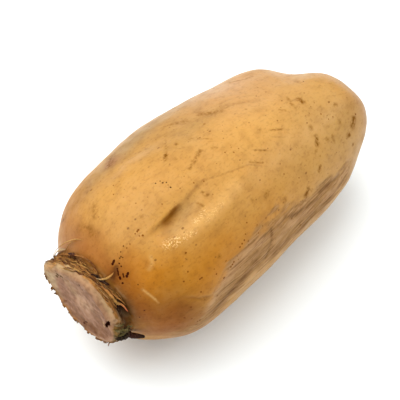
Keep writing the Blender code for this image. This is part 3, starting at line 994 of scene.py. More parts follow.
def collar_tint(skin):
    """The torn collar: tan, olive and maroon shreds."""
    spots = wound_round(skin, *SHRED_SIZE)
    shade = noise_at(spots, "collar")
    dark = smoothstep(*DARK_SPAN, noise_at(spots * DARK_SHREDS, "collar dark"))
    crease = bump(skin.distance - NECK_CREASE[0], COLLAR_CREASE)
    tint = plain_tint(skin, TORN_TAN)
    tint = blend_in(tint, OLIVE, smoothstep(*OLIVE_SPAN, shade))
    tint = blend_in(tint, CREAM, SHRED_STRENGTH * smoothstep(*CREAM_SPAN, -shade))
    tint = blend_in(tint, MAROON, SHRED_STRENGTH * np.maximum(crease, dark))
    for angle, spread, end, colour, strength in COLLAR_PATCHES:
        share = bump(turn_from(skin.angle, angle), spread) * fade(*end, skin.distance)
        tint = blend_in(tint, colour, strength * share)
    return tint


def brink_share(skin):
    """How creamy the far brink of the slope over the rim is."""
    before, reach, strength = BRINK
    weaker, span = WEAK_BRINK
    stronger, angle, spread = STRONG_BRINK
    turned = turn_from(skin.angle, 0.0)
    brink = bump(skin.distance - RIM_SLOPE[2] + before, reach) * slope_share(skin)
    return brink * (strength - weaker * smoothstep(*span, turned) + stronger * bump(turned - angle, spread))


def face_tint(skin):
    """The cut: mauve brown, paler in the middle and cream at its rim, mostly at the top."""
    across, up = face_spots(skin)
    share = np.hypot(across, up) * MM / skin.rim
    cloud = lumps(skin, CUT_CLOUD, "cut cloud")
    middle = np.hypot(across - PALE_MIDDLE[0], up - PALE_MIDDLE[1])
    low = bump(turn_from(skin.angle, LOW_ARC[0]), LOW_ARC[1])
    low = low * smoothstep(*LOW_START, share) * fade(*LOW_END, share)
    upper = facing(skin, UPPER_ANGLE) * smoothstep(*UPPER_START, share + UPPER_SHIFT * cloud)
    tint = plain_tint(skin, FACE_MAUVE)
    tint = blend_in(tint, FACE_LOW, LOW_STRENGTH * low)
    tint = blend_in(tint, FACE_PALE, PALE_STRENGTH * bump(middle, PALE_REACH))
    tint = blend_in(tint, FACE_DARK, CLOUD_STRENGTH * smoothstep(*CLOUD_SPAN, cloud))
    tint = blend_in(tint, FACE_TAN, upper)
    tint = blend_in(tint, CREAM, brink_share(skin))
    for angle, spread, start, shift, colour, strength in RIM_PATCHES:
        edge = bump(turn_from(skin.angle, angle), spread) * smoothstep(*start, share + shift * cloud)
        tint = blend_in(tint, colour, strength * edge)
    return tint


# ---------------------------------------------------------------- Husk
# Husk nearer the cut than this distance stands in front of it
HUSK_FRONT = 0.6
FIBRE_SEED, STRAND_SEED = 7, 8
# The corners of a strand's rings, how far apart they are, and the least number of steps along it
STRAND_SIDES = 6
STRAND_STEP = 0.35
LEAST_STEPS = 4
# How soon a strand widens from its start and narrows to its end, with the powers of that, and its least
# thickness as a share of the greatest
WIDENS, NARROWS = (3.0, 0.5), (3.6, 0.7)
THIN_ENDS = 0.4
# Single strands: path of (distance, angle, lift), half width, half thickness, raggedness, colours along it
STRANDS = (
    (((4.4, 22, 0.4), (5.1, 31, 0.9), (5.8, 46, 1.1), (7.6, 58, 1.3), (8.6, 69, 1.5)),
     0.62, 0.25, 0.15, (HUSK_BROWN, TORN_TAN, STRAW, ROOT_PINK)),
    (((6.6, 34, 0.8), (7.2, 41, 1.2), (8.1, 48, 1.3), (8.8, 60, 1.0)),
     0.26, 0.15, 0.10, (HUSK_BROWN, TORN_TAN, TORN_TAN)),
    (((5.4, 13, 0.7), (7.2, 18, 1.2), (8.8, 21.4, 1.3), (10.4, 22.6, 1.0), (11.8, 22, 0.3)),
     0.42, 0.18, 0.15, (CREAM, STRAW, TORN_TAN)),
    (((6.4, 16, 0.5), (8.0, 20.5, 1.0), (9.8, 24, 0.6)), 0.30, 0.15, 0.10, (MAROON, TORN_TAN)),
    (((8.3, -76, 0.5), (8.8, -56, 0.9), (8.8, -40, 1.0), (9.4, -20, 0.9), (9.5, -6, 1.0), (8.8, 6, 1.0),
      (7.6, 14, 0.8)),
     0.36, 0.30, 0.30, (HUSK_BROWN, TORN_TAN, HUSK_BROWN, HUSK_BROWN)),
    (((8.4, -76, 0.8), (10.0, -63, 1.9), (11.1, -54, 2.0), (12.3, -43, 1.7), (13.5, -32, 1.0),
      (14.0, -25, 0.2)),
     0.28, 0.16, 0.10, (TORN_TAN, STRAW, STRAW)),
    (((8.8, -54, 0.6), (10.2, -47, 1.3), (12.0, -41, 1.4), (12.9, -36, 0.4)),
     0.24, 0.16, 0.10, (HUSK_BROWN, STRAW)),
    (((8.8, -76, 0.4), (9.3, -68, 1.0), (9.8, -60, 1.4), (10.0, -50, 1.0)),
     0.90, 0.18, 0.20, (CREAM, CREAM, HUSK_GREY)),
    (((8.9, -48, 0.6), (9.1, -38, 1.1), (9.2, -26, 0.8)), 0.60, 0.25, 0.40, (MAROON, MAROON, HUSK_BROWN)),
    (((7.0, -83, 0.4), (7.6, -86, 2.2), (8.4, -89, 4.6)), 0.17, 0.14, 0.00, (HUSK_BROWN, HUSK_GREY)),
    (((8.6, -92, 0.4), (10.0, -96, 1.4), (12.2, -99, 1.8)), 0.17, 0.14, 0.00, (STRAW, HUSK_GREY)),
    (((0.8, 86, 0.2), (3.4, 91, 1.3), (6.0, 94, 1.9), (8.4, 94, 1.9)),
     1.0, 0.30, 0.30, (HUSK_GREEN, HUSK_GREEN)),
    (((1.4, 97, 0.2), (4.4, 102, 1.2), (8.0, 106, 1.6)), 1.1, 0.30, 0.35, (HUSK_GREEN, HUSK_GREEN)),
    (((1.2, 78, 0.2), (3.4, 82, 0.9), (5.2, 84, 1.0)), 0.60, 0.30, 0.30, (HUSK_GREY, HUSK_GREEN, HUSK_GREEN)),
    (((2.6, 90, 1.6), (5.6, 97, 2.2), (8.2, 99, 2.1)),
     0.30, 0.20, 0.20, (NEAR_BLACK, HUSK_GREEN, NEAR_BLACK)),
    (((0.5, 100, 0.4), (3.6, 106, 1.4), (6.6, 110, 2.2), (9.4, 112, 2.4), (12.0, 112, 2.2)),
     1.30, 1.20, 0.30, (NEAR_BLACK, NEAR_BLACK, MAROON, MAROON, NEAR_BLACK)),
    (((1.5, 103, 0.4), (5.0, 110, 1.0), (9.5, 114, 1.0)), 0.55, 0.40, 0.30, (OLIVE, NEAR_BLACK, OLIVE)),
    (((5.6, 5, 0.6), (6.8, 12, 1.0), (7.6, 20, 0.9), (8.0, 27, 0.5)),
     0.60, 0.35, 0.40, (MAROON, NEAR_BLACK, MAROON)),
    (((6.4, 14, 0.4), (7.4, 22, 0.8), (8.4, 30, 0.4)), 0.50, 0.30, 0.40, (NEAR_BLACK, MAROON)),
    (((8.2, -46, 0.7), (8.8, -38, 1.0), (8.9, -28, 0.8)), 0.70, 0.30, 0.40, (MAROON, HUSK_BROWN, MAROON)),
    (((0.8, 110, 0.2), (4.0, 118, 0.8), (7.6, 124, 0.7)), 0.40, 0.30, 0.20, (OLIVE, HUSK_GREEN, OLIVE)),
)
# Fibres wound round the collar: how many, and where they gather as (angle, spread in degrees, share of them)
FIBRES = 230
FIBRE_ARCS = ((-75.0, 32.0, 0.34), (0.0, 24.0, 0.22))
# No fibre lies across this arc: middle angle and half width
BARE_ARC = (85.0, 32.0)
# Fibres that start on this arc keep further from the cut than the others: the arc and the two least distances
PALE_ARC = (-108.0, 70.0)
NEAREST_PALE, NEAREST = 3.0, 0.8
FURTHEST = 8.8
# However it drifts and waves, a fibre stays between these distances from the cut
FIBRE_REACH = (0.3, 10.5)
# Ranges of a fibre's sweep round the node in degrees, its half width and half thickness
FIBRE_SWEEP = (8.0, 34.0)
FIBRE_WIDTH = (0.10, 0.30)
FIBRE_THICKNESS = (0.08, 0.16)
# How much further from the cut it ends than it starts, how much it waves, and how far it lies off the collar
FIBRE_DRIFT = 1.4
FIBRE_WAVE = 0.35
FIBRE_LIFT = 0.05
LIFT_VARIES = 0.15
# How far its end stands off, for most fibres and for the loose ones, and the share of them that isn't loose
FIBRE_CURL, LOOSE_CURL = (0.1, 0.5), (0.6, 1.6)
CLOSE_FIBRES = 0.75
FIBRE_PLACES = 5
FIBRE_COLOURS = (OLIVE, MAROON, TORN_TAN, TORN_TAN, STRAW, HUSK_BROWN, HUSK_BROWN)
# Broken fibre ends that stand out of the cut's rim, and the arc of the rim that they stand on
TEETH = 40
TEETH_ARC = (95.0, 278.0)
# How far a tooth leans, in degrees
TOOTH_LEAN = (-3.0, 3.0)
# Where its root and its middle lie: distance from the cut and lift
TOOTH_ROOT, TOOTH_MIDDLE = (1.8, -0.2), (0.8, 0.1)
# How far out its tip is, for most teeth and for the long ones, and the share of teeth that are short
TOOTH_OUT, LONG_TOOTH_OUT = (0.0, 0.4), (0.6, 1.6)
SHORT_TEETH = 0.9
# How far its tip is from the cut, its half width and half thickness
TOOTH_FRONT = (-0.3, 0.8)
TOOTH_WIDTH = (0.25, 0.75)
TOOTH_THICKNESS = 0.22
# How uneven the edges of fibres and teeth are
FIBRE_RAGGED, TOOTH_RAGGED = 0.2, 0.4
TOOTH_ROOTS, TOOTH_TIPS = (HUSK_BROWN, TORN_TAN, MAROON), (STRAW, HUSK_BROWN, HUSK_GREY)
# How much lighter or darker than its colour a point of the husk can be
HUSK_SHADES = (0.8, 1.15)


def along_path(places, share):
    """A smooth curve through the places, at a share of the way from first to last."""
    spot = share * (len(places) - 1)
    number = min(int(spot), len(places) - 2)
    part = spot - number
    before, start = places[max(number - 1, 0)], places[number]
    end, after = places[number + 1], places[min(number + 2, len(places) - 1)]
    curve = []
    for prior, here, there, beyond in zip(before, start, end, after):
        bend = 2.0 * prior - 5.0 * here + 4.0 * there - beyond
        twist = 3.0 * here - prior - 3.0 * there + beyond
        pull = (there - prior) * part + bend * part**2 + twist * part**3
        curve.append(here + pull / 2.0)
    return curve


class Husk:
    """Strands of torn husk, gathered into one mesh."""

    def __init__(self, skin, seed):
        self.skin = skin
        self.chance = random.Random(seed)
        self.points, self.faces, self.tints = [], [], []

    def above(self, distance, angle, lift):
        """A point over the surface, or in front of the cut where the distance is small, and the way up."""
        near = max(distance, HUSK_FRONT)
        base = self.skin.at(near, angle)
        outward = Vector((0.0, -math.sin(math.radians(angle)), math.cos(math.radians(angle))))
        up = (Vector(self.skin.spot(self.skin.normals, near, angle)) + outward).normalized()
        return Vector(base) + up * lift * MM + Vector(ALONG) * (distance - near) * MM, up

    def strand(self, places, half_width, half_thickness, ragged, colours):
        """Adds one flattened strand that tapers to a point at both ends."""
        ends = [self.above(*place)[0] for place in places]
        length = sum((end - start).length for start, end in zip(ends, ends[1:])) / MM
        steps = max(LEAST_STEPS, round(length / STRAND_STEP))
        spots, ups = zip(*(self.above(*along_path(places, step / steps)) for step in range(steps + 1)))
        first = len(self.points)
        self.add_point(spots[0], colours, 0.0)
        for step in range(1, steps):
            share = step / steps
            heading = (spots[step + 1] - spots[step - 1]).normalized()
            side = heading.cross(ups[step]).normalized()
            rise = side.cross(heading)
            taper = min(1.0, WIDENS[0] * share) ** WIDENS[1]
            taper *= min(1.0, NARROWS[0] * (1.0 - share)) ** NARROWS[1]
            edges = [1.0 + ragged * self.chance.uniform(-1.0, 1.0) for _ in range(2)]
            for corner in range(STRAND_SIDES):
                turn = 2.0 * math.pi * corner / STRAND_SIDES
                out = half_width * taper * edges[0 if math.cos(turn) > 0.0 else 1] * math.cos(turn)
                high = half_thickness * (THIN_ENDS + (1.0 - THIN_ENDS) * taper) * math.sin(turn)
                self.add_point(spots[step] + side * out * MM + rise * high * MM, colours, share)
        self.add_point(spots[-1], colours, 1.0)
        last = len(self.points) - 1
        for corner in range(STRAND_SIDES):
            beside = (corner + 1) % STRAND_SIDES
            self.faces.append((first, first + 1 + beside, first + 1 + corner))
            for step in range(steps - 2):
                low = first + 1 + step * STRAND_SIDES
                high = low + STRAND_SIDES
                self.faces.append((low + corner, low + beside, high + beside, high + corner))
            low = last - STRAND_SIDES
            self.faces.append((last, low + corner, low + beside))

    def add_point(self, spot, colours, share):
        """Adds a point, coloured for its share of the way along its strand."""
        place = share * (len(colours) - 1)
        number = min(int(place), len(colours) - 2)
        start, end = paint(*colours[number]), paint(*colours[number + 1])
        tint = start + (end - start) * (place - number)
        self.points.append(tuple(spot))
        self.tints.append(tint * self.chance.uniform(*HUSK_SHADES))

    def mostly(self, share, usual, rare):
        """A number from the usual range for this share of the calls, and from the rare one otherwise."""
        return self.chance.uniform(*(usual if self.chance.random() < share else rare))

    def wind(self):
        """Adds a fibre that winds part of the way round the collar."""
        arc = self.chance.random()
        start = self.chance.uniform(-180.0, 180.0)
        for middle, spread, share in FIBRE_ARCS:
            if arc < share:
                start = self.chance.gauss(middle, spread)
                break
            arc -= share
        sweep = self.chance.choice((-1.0, 1.0)) * self.chance.uniform(*FIBRE_SWEEP)
        nearest = NEAREST_PALE if PALE_ARC[0] < start < PALE_ARC[1] else NEAREST
        distance = self.chance.uniform(nearest, FURTHEST)
        drift = self.chance.uniform(-FIBRE_DRIFT, FIBRE_DRIFT)
        curl = self.mostly(CLOSE_FIBRES, FIBRE_CURL, LOOSE_CURL)
        places = []
        for step in range(FIBRE_PLACES):
            share = step / (FIBRE_PLACES - 1)
            wave = self.chance.uniform(-FIBRE_WAVE, FIBRE_WAVE)
            spot = min(max(distance + drift * share + wave, FIBRE_REACH[0]), FIBRE_REACH[1])
            lift = FIBRE_LIFT + curl * share**2 + self.chance.uniform(0.0, LIFT_VARIES)
            places.append((spot, start + sweep * share, lift))
        width = self.chance.uniform(*FIBRE_WIDTH)
        colours = [self.chance.choice(FIBRE_COLOURS) for _ in range(2)]
        if abs(turn_from(start + sweep / 2.0, BARE_ARC[0])) > BARE_ARC[1]:
            self.strand(places, width, self.chance.uniform(*FIBRE_THICKNESS), FIBRE_RAGGED, colours)

    def tooth(self):
        """Adds a broken fibre end that stands out of the cut's rim."""
        angle = self.chance.uniform(*TEETH_ARC)
        lean = self.chance.uniform(*TOOTH_LEAN)
        out = self.mostly(SHORT_TEETH, TOOTH_OUT, LONG_TOOTH_OUT)
        front = self.chance.uniform(*TOOTH_FRONT)
        (root, sunk), (middle, lift) = TOOTH_ROOT, TOOTH_MIDDLE
        places = ((root, angle - lean, sunk), (middle, angle, lift), (front, angle + lean, out))
        colours = self.chance.choice(TOOTH_ROOTS), self.chance.choice(TOOTH_TIPS)
        self.strand(places, self.chance.uniform(*TOOTH_WIDTH), TOOTH_THICKNESS, TOOTH_RAGGED, colours)

    def add(self, name):
        """Makes the strands into a piece."""
        material = torn_material(name, HUSK_GRAIN)
        piece = add_piece(name, self.points, self.faces, {"tint": np.array(self.tints)}, [material])


# ---------------------------------------------------------------- Materials, in metres
# Half the width of the soft edge of a dot
DOT_EDGE = 0.00007
# Noise of each material: the size of its features, its detail and how far it is drawn out along X, Y and Z
EVEN = (1.0, 1.0, 1.0)
SKIN_NOISE = {
    "cloud": (0.016, 3.0, (1.3, 1.0, 1.0)),
    "mottle": (0.0040, 5.0, (1.2, 1.0, 1.0)),
    "fine": (0.0011, 4.0, (1.3, 1.0, 1.0)),
    "streak": (0.0009, 4.0, (14.0, 1.0, 1.0)),
    "ragged": (0.0013, 4.0, EVEN),
    "dots": (0.0007, 2.0, EVEN),
    "grain": (0.0006, 3.0, EVEN),
}
CUT_NOISE = {
    "cloud": (0.0026, 5.0, EVEN),
    "fibre": (0.0011, 3.0, (1.0, 1.2, 1.5)),
    "dots": (0.0011, 2.0, EVEN),
}
TORN_DETAIL = 4.0
TORN_STRETCH = (0.6, 2.5, 2.5)
COLLAR_GRAIN, HUSK_GRAIN = 0.0007, 0.0005
# Layers of noise over a colour: the noise, where it begins and is full, strength, colour and blending
SKIN_LAYERS = (
    ("cloud", 0.40, 0.75, 0.10, GREY_TAN, "MULTIPLY"),
    ("mottle", 0.50, 0.72, 0.20, GREY_TAN, "MULTIPLY"),
    ("mottle", 0.50, 0.25, 0.06, CREAM, "SCREEN"),
    ("fine", 0.52, 0.75, 0.30, GREY_TAN, "MULTIPLY"),
)
CUT_LAYERS = (
    ("cloud", 0.45, 0.70, 0.42, FACE_DARK, "MULTIPLY"),
    ("cloud", 0.45, 0.25, 0.25, FACE_PALE, "MIX"),
    ("fibre", 0.52, 0.75, 0.14, FACE_DARK, "MULTIPLY"),
    ("fibre", 0.45, 0.25, 0.14, CREAM, "MIX"),
)
TORN_LAYERS = (
    ("fibre", 0.50, 0.75, 0.40, HUSK_BROWN, "MULTIPLY"),
    ("fibre", 0.45, 0.20, 0.35, CREAM, "MIX"),
)
# Random lenticels: the size of their cells, their greatest radius, strength and how far they are drawn out
SKIN_SPECKS = (
    (0.0040, 0.00068, 0.80, (1.3, 1.0, 1.0)),
    (0.0022, 0.00042, 0.60, (1.3, 1.0, 1.0)),
)
CUT_SPECKS = (0.0030, 0.00045, 0.60, EVEN)
# Cells whose random number is below this have no lenticel
EMPTY_CELLS = 0.30
# How soft the edge of a lenticel is, as a share of its radius
SPECK_SOFT = 0.35
# From here on, four numbers are a spread: a value between the first two becomes one between the last two.
# Marks from the mesh's values: the value's name, how it varies with noise, and the strength of its colour
SKIN_MARKS = (
    ("stain", (0.34, 0.64, 0.25, 1.35), (0.05, 0.85, 0.0, 0.95)),
    ("crease", (0.30, 0.60, 0.30, 1.20), (0.05, 0.90, 0.0, 0.70)),
)
PORE_MARK = (0.15, 0.85, 0.0, 0.70)
# Dark streaks of the scuffed side, faint ones all over the skin, and pale ones of the scuffed side
STRONG_STREAKS = (0.50, 0.66, 0.0, 0.34)
FAINT_STREAKS = (0.55, 0.75, 0.0, 0.10)
PALE_STREAKS = (0.47, 0.32, 0.0, 0.55)
# How far noise moves the edges of dots in and out
SKIN_DOT_EDGES = (0.3, 0.7, -0.00010, 0.00010)
CUT_DOT_EDGES = (0.3, 0.7, -0.00018, 0.00018)
# Where the ridge's fine grain gets painted glints, and how strongly
PAINTED_SPARKLE = (0.52, 0.62, 0.0, 0.75)
# How the shaders' sockets follow how dull the skin is, how dotted the cut is, or noise
SKIN_SPECULAR = (0.0, 0.9, 0.18, 0.03)
SKIN_COAT = (0.0, 0.5, 0.06, 0.0)
SKIN_ROUGHNESS = (0.3, 0.7, 0.36, 0.50)
SCUFF_ROUGHNESS = 0.18
CUT_SPECULAR = (0.0, 1.0, 0.15, 0.0)
CUT_ROUGHNESS = (0.3, 0.7, 0.55, 0.75)
TORN_ROUGHNESS = (0.3, 0.7, 0.60, 0.85)
# Bumps: depth and strength, or depth and how the strength follows a value of the mesh
MOTTLE_BUMP = (0.00025, 0.5)
STREAK_BUMP = (0.00020, (0.0, 1.0, 0.15, 0.9))
GLINT_BUMP = (0.00010, (0.0, 0.6, 0.18, 1.0))
CUT_CLOUD_BUMP = (0.0004, 0.6)
CUT_FIBRE_BUMP = (0.00025, 0.8)
TORN_BUMP = (0.0005, 0.9)


class Surface:
    """A procedural material being built round a Principled shader."""

    def __init__(self, name, **fixed):
        self.material = bpy.data.materials.new(name)
        self.material.use_nodes = True
        self.tree = self.material.node_tree
        self.shader = self.tree.nodes["Principled BSDF"]
        for socket, value in fixed.items():
            self.shader.inputs[socket.replace("_", " ")].default_value = value
        self.places = self.add("TexCoord").outputs["Object"]

    def add(self, kind, inputs=None, **settings):
        node = self.tree.nodes.new("ShaderNode" + kind)
        for name, value in settings.items():
            setattr(node, name, value)
        for name, value in (inputs or {}).items():
            if isinstance(value, bpy.types.NodeSocket):
                self.tree.links.new(value, node.inputs[name])
            else:
                node.inputs[name].default_value = value
        return node

    def attribute(self, name):
        return self.add("Attribute", attribute_name=name).outputs["Fac"]

    def tint(self):
        return self.add("Attribute", attribute_name="tint").outputs["Color"]

    def spots(self, size, stretch):
        """Coordinates where one unit is size metres, drawn out by the stretch."""
        scale = tuple(1.0 / (size * share) for share in stretch)
        return self.add("VectorMath", {0: self.places, 1: scale}, operation="MULTIPLY").outputs[0]

    def noise(self, size, detail, stretch):
        """Noise from 0 to 1 with features about size metres across, drawn out by the stretch."""
        inputs = {"Vector": self.spots(size, stretch), "Scale": 1.0, "Detail": detail}
        return self.add("TexNoise", inputs).outputs["Fac"]

    def cells(self, size, stretch):
        """Scattered cells: the gap to a cell's middle, as a share of the size, and its random number."""
        node = self.add("TexVoronoi", {"Vector": self.spots(size, stretch), "Scale": 1.0})
        return node.outputs["Distance"], self.add("SeparateColor", {0: node.outputs["Color"]}).outputs[0]

    def spread(self, value, low, high, bottom=0.0, top=1.0):
        """A value between low and high, as one between bottom and top."""
        inputs = {"Value": value, "From Min": low, "From Max": high, "To Min": bottom, "To Max": top}
        return self.add("MapRange", inputs).outputs["Result"]

    def maths(self, operation, *values):
        return self.add("Math", dict(enumerate(values)), operation=operation).outputs[0]

    def product(self, *values):
        return self.maths("MULTIPLY", *values)

    def mix(self, share, under, over, blend_type="MIX"):
        inputs = {0: share, 6: under, 7: over}
        return self.add("Mix", inputs, data_type="RGBA", blend_type=blend_type).outputs[2]

    def layers(self, colour, noises, table):
        """A colour with a table's layers of noise over it."""
        for name, low, high, strength, over, blend_type in table:
            share = self.spread(noises[name], low, high, 0.0, strength)
            colour = self.mix(share, colour, rgba(over), blend_type)
        return colour

    def bump(self, height, distance, strength, normal=None):
        inputs = {"Height": height, "Distance": distance, "Strength": strength}
        if normal:
            inputs["Normal"] = normal
        return self.add("Bump", inputs).outputs[0]

    def wire(self, socket, value):
        self.tree.links.new(value, self.shader.inputs[socket])


def rgba(colour):
    """An sRGB colour in bytes as a shader's colour."""
    return (*paint(*colour), 1.0)


def specks(surface, colour, size, radius, strength, stretch):
    """Random lenticels over a colour: some cells have none, and their sizes differ."""
    gap, chance = surface.cells(size, stretch)
    reach = surface.spread(chance, EMPTY_CELLS, 1.0, 0.0, radius / size)
    inside = surface.maths("LESS_THAN", gap, reach)
    soft = surface.maths("SUBTRACT", reach, gap)
    soft = surface.spread(soft, 0.0, SPECK_SOFT * radius / size, 0.0, strength)
    return surface.mix(surface.product(inside, soft), colour, rgba(BROWN_STAIN))


def dots(surface, table, find, colour, ragged):
    """A colour with a table's ragged dots over it, and how much of it they cover."""
    covered = None
    for dot_colour, strength, radius, places in table:
        gap = None
        for place in places:
            inputs = {0: surface.places, 1: tuple(find(*place))}
            away = surface.add("VectorMath", inputs, operation="DISTANCE").outputs["Value"]
            gap = surface.maths("MINIMUM", gap, away) if gap else away
        gap = surface.maths("ADD", gap, ragged)
        inside = surface.spread(gap, radius * MM + DOT_EDGE, radius * MM - DOT_EDGE, 0.0, strength)
        colour = surface.mix(inside, colour, rgba(dot_colour))
        covered = surface.maths("MAXIMUM", covered, inside) if covered else inside
    return colour, covered


def skin_material(skin):
    """The skin: mottled ochre with stains, dots, creases and a scuffed side, painted shade on the fold's wall
    among the stains, and painted glints on the ridge.
    """
    surface = Surface(
        "skin",
        Coat_Roughness=0.28,
        Subsurface_Weight=0.12,
        Subsurface_Radius=(0.006, 0.0025, 0.0008),
        Subsurface_Scale=1.0,
    )
    noises = {name: surface.noise(*settings) for name, settings in SKIN_NOISE.items()}
    streak = noises["streak"]
    scuff = surface.attribute("scuff")
    glint = surface.attribute("glint")

    colour = surface.layers(surface.tint(), noises, SKIN_LAYERS)
    strong = surface.product(surface.spread(streak, *STRONG_STREAKS), scuff)
    dark = surface.maths("ADD", surface.spread(streak, *FAINT_STREAKS), strong)
    colour = surface.mix(dark, colour, rgba(BROWN_STAIN), "MULTIPLY")
    pale = surface.product(surface.spread(streak, *PALE_STREAKS), scuff)
    colour = surface.mix(pale, colour, rgba(PALE_SCUFF))
    for settings in SKIN_SPECKS:
        colour = specks(surface, colour, *settings)
    marks = {}
    for name, varied, strength in SKIN_MARKS:
        marks[name] = surface.product(surface.attribute(name), surface.spread(noises["ragged"], *varied))
        colour = surface.mix(surface.spread(marks[name], *strength), colour, rgba(BROWN_STAIN))
    edges = surface.spread(noises["dots"], *SKIN_DOT_EDGES)
    colour, dotted = dots(surface, DOTS, skin.at, colour, edges)
    # Painted highlight: cream glints over the ridge's fine grain
    painted_sparkle = surface.product(glint, surface.spread(noises["grain"], *PAINTED_SPARKLE))
    surface.wire("Base Color", surface.mix(painted_sparkle, colour, rgba(PAINTED_GLINT_CREAM)))

    dull = surface.maths("MAXIMUM", surface.attribute("dull"), dotted)
    dull = surface.maths("MAXIMUM", dull, marks["stain"])
    surface.wire("Specular IOR Level", surface.spread(dull, *SKIN_SPECULAR))
    surface.wire("Coat Weight", surface.spread(dull, *SKIN_COAT))
    gloss = surface.spread(noises["mottle"], *SKIN_ROUGHNESS)
    surface.wire("Roughness", surface.maths("ADD", gloss, surface.product(scuff, SCUFF_ROUGHNESS)))
    normal = surface.bump(noises["mottle"], *MOTTLE_BUMP)
    for height, share, settings in ((streak, scuff, STREAK_BUMP), (noises["grain"], glint, GLINT_BUMP)):
        depth, strength = settings
        normal = surface.bump(height, depth, surface.spread(share, *strength), normal)
    surface.wire("Normal", normal)
    return surface.material


def cut_material(skin):
    """The cut tissue: scraped, fibrous and matt, with dark pores."""
    surface = Surface("cut_tissue")
    noises = {name: surface.noise(*settings) for name, settings in CUT_NOISE.items()}
    colour = surface.layers(surface.tint(), noises, CUT_LAYERS)
    colour = specks(surface, colour, *CUT_SPECKS)
    pore = surface.spread(surface.attribute("stain"), *PORE_MARK)
    colour = surface.mix(pore, colour, rgba(HUSK_BROWN), "MULTIPLY")
    edges = surface.spread(noises["dots"], *CUT_DOT_EDGES)
    colour, dotted = dots(surface, CUT_DOTS, skin.on_cut, colour, edges)
    surface.wire("Base Color", colour)
    surface.wire("Specular IOR Level", surface.spread(dotted, *CUT_SPECULAR))
    surface.wire("Roughness", surface.spread(noises["cloud"], *CUT_ROUGHNESS))
    normal = surface.bump(noises["cloud"], *CUT_CLOUD_BUMP)
    surface.wire("Normal", surface.bump(noises["fibre"], *CUT_FIBRE_BUMP, normal))
    return surface.material


def torn_material(name, size):
    """Dry torn fibre: the collar's side and the husk."""
    surface = Surface(name, Specular_IOR_Level=0.12)
    fibre = surface.noise(size, TORN_DETAIL, TORN_STRETCH)
    surface.wire("Base Color", surface.layers(surface.tint(), {"fibre": fibre}, TORN_LAYERS))
    surface.wire("Roughness", surface.spread(fibre, *TORN_ROUGHNESS))
    surface.wire("Normal", surface.bump(fibre, *TORN_BUMP))
    return surface.material


def table_material():
    """Matt white with faint clouds."""
    surface = Surface("white_table", Roughness=0.9, Specular_IOR_Level=0.1)
    cloud = surface.noise(TABLE_CLOUD, 1.0, EVEN)
    surface.wire("Base Color", surface.mix(cloud, TABLE_WHITE, TABLE_GREY))
    return surface.material


# ---------------------------------------------------------------- Pieces
def add_piece(name, points, faces, values, materials, face_materials=None):
    """A smooth mesh piece that rides with the root, with its named values on its points."""
    mesh = bpy.data.meshes.new(name)
    mesh.from_pydata(points, [], faces)
    for label, array in values.items():
        if array.ndim == 2:
            array = np.column_stack([array, np.ones(len(array))])
            layer = mesh.attributes.new(label, "FLOAT_COLOR", "POINT")
            layer.data.foreach_set("color", array.astype(np.float32).ravel())
        else:
            layer = mesh.attributes.new(label, "FLOAT", "POINT")
            layer.data.foreach_set("value", array.astype(np.float32))
    for material in materials:
        mesh.materials.append(material)
    if face_materials is not None:
        mesh.polygons.foreach_set("material_index", face_materials)
    mesh.shade_smooth()
    mesh.update()
    piece = bpy.data.objects.new(name, mesh)
    bpy.context.scene.collection.objects.link(piece)
    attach(piece, "root")
    return piece


def strongest(shares):
    """The greatest of several grids at each grid point."""
    return np.maximum.reduce(list(shares))


def stain_and_wall_shade_share(skin):
    """How stained the skin is, with painted shade on the fold's wall, from 0 to 1."""
    ragged = 1.0 + MOTTLED_STAIN * skin.mottle
    rows = (*STAINS_AND_WALL_SHADE, *hidden_stains())
    return strongest(strength * skin.line(path, reach, ragged) for path, reach, strength in rows)


def dull_share(skin):
    """How matt the skin is, from 0 to 1."""
    crease = bump(skin.distance - NECK_CREASE[0], NECK_DULL)
    patches = [strength * patch(skin, place, reach) for place, reach, strength in DULL_PATCHES]
    return strongest([crease, SCUFF_DULL * skin.scuff, *patches])


def whole_tint(skin, tissue):
    """The colour of the skin, the torn collar and the cut tissue, with painted shade in the recess behind the
    collar.
    """
    body_share = smoothstep(*SKIN_START, skin.distance + SKIN_SHIFT * skin.mottle)[..., None]
    collar = collar_tint(skin)
    tint = collar + (skin_tint(skin) - collar) * body_share
    # Painted shade in the recess behind the collar
    tint = blend_in(tint, RECESS_SHADE_AND_MARK_BROWN, node_patch(skin, *PAINTED_RECESS_SHADE))
    return np.where(tissue[..., None], face_tint(skin), tint)


def shape_skin(skin):
    """Moves the grid out by its relief, and returns the values that the materials read, one grid each."""
    rows = np.arange(skin.points.shape[0])[:, None]
    on_face = np.broadcast_to(rows < FACE_ROWS, skin.distance.shape)
    tissue = cut_tissue(skin)
    on_body = smoothstep(*BODY_START, skin.distance)
    shift_rim(skin)
    skin.mottle = lumps(skin, MOTTLE_SIZE, "mottle")
    mottled, rough, *size = SCUFF_RAGGED
    skin.ragged = mottled * skin.mottle + rough * noise_at(drawn_out(skin, *size), "scuff edge")
    skin.scuff = scuff_share(skin)
    body, crease = body_relief(skin)
    face, pores = face_relief(skin)
    relief = np.where(on_face, face, collar_relief(skin) + body * on_body)
    values = {
        "tint": whole_tint(skin, tissue),
        # The stain values also carry the painted shade on the fold's wall
        "stain": np.where(on_face, pores, stain_and_wall_shade_share(skin)),
        "crease": np.where(on_face, 0.0, crease * on_body),
        "dull": dull_share(skin),
        "scuff": np.where(on_face, 0.0, skin.scuff),
        "glint": strongest(strength * skin.line(path, reach) for path, reach, strength in GLINTS),
    }
    skin.points = skin.points + skin.normals * relief[..., None] * MM
    skin.measure()
    return values


def flattened(grid):
    """A grid's values in a row: row by row, then the middles of its first and last rows."""
    return np.concatenate([grid.reshape(-1, *grid.shape[2:]), [grid[0].mean(axis=0), grid[-1].mean(axis=0)]])


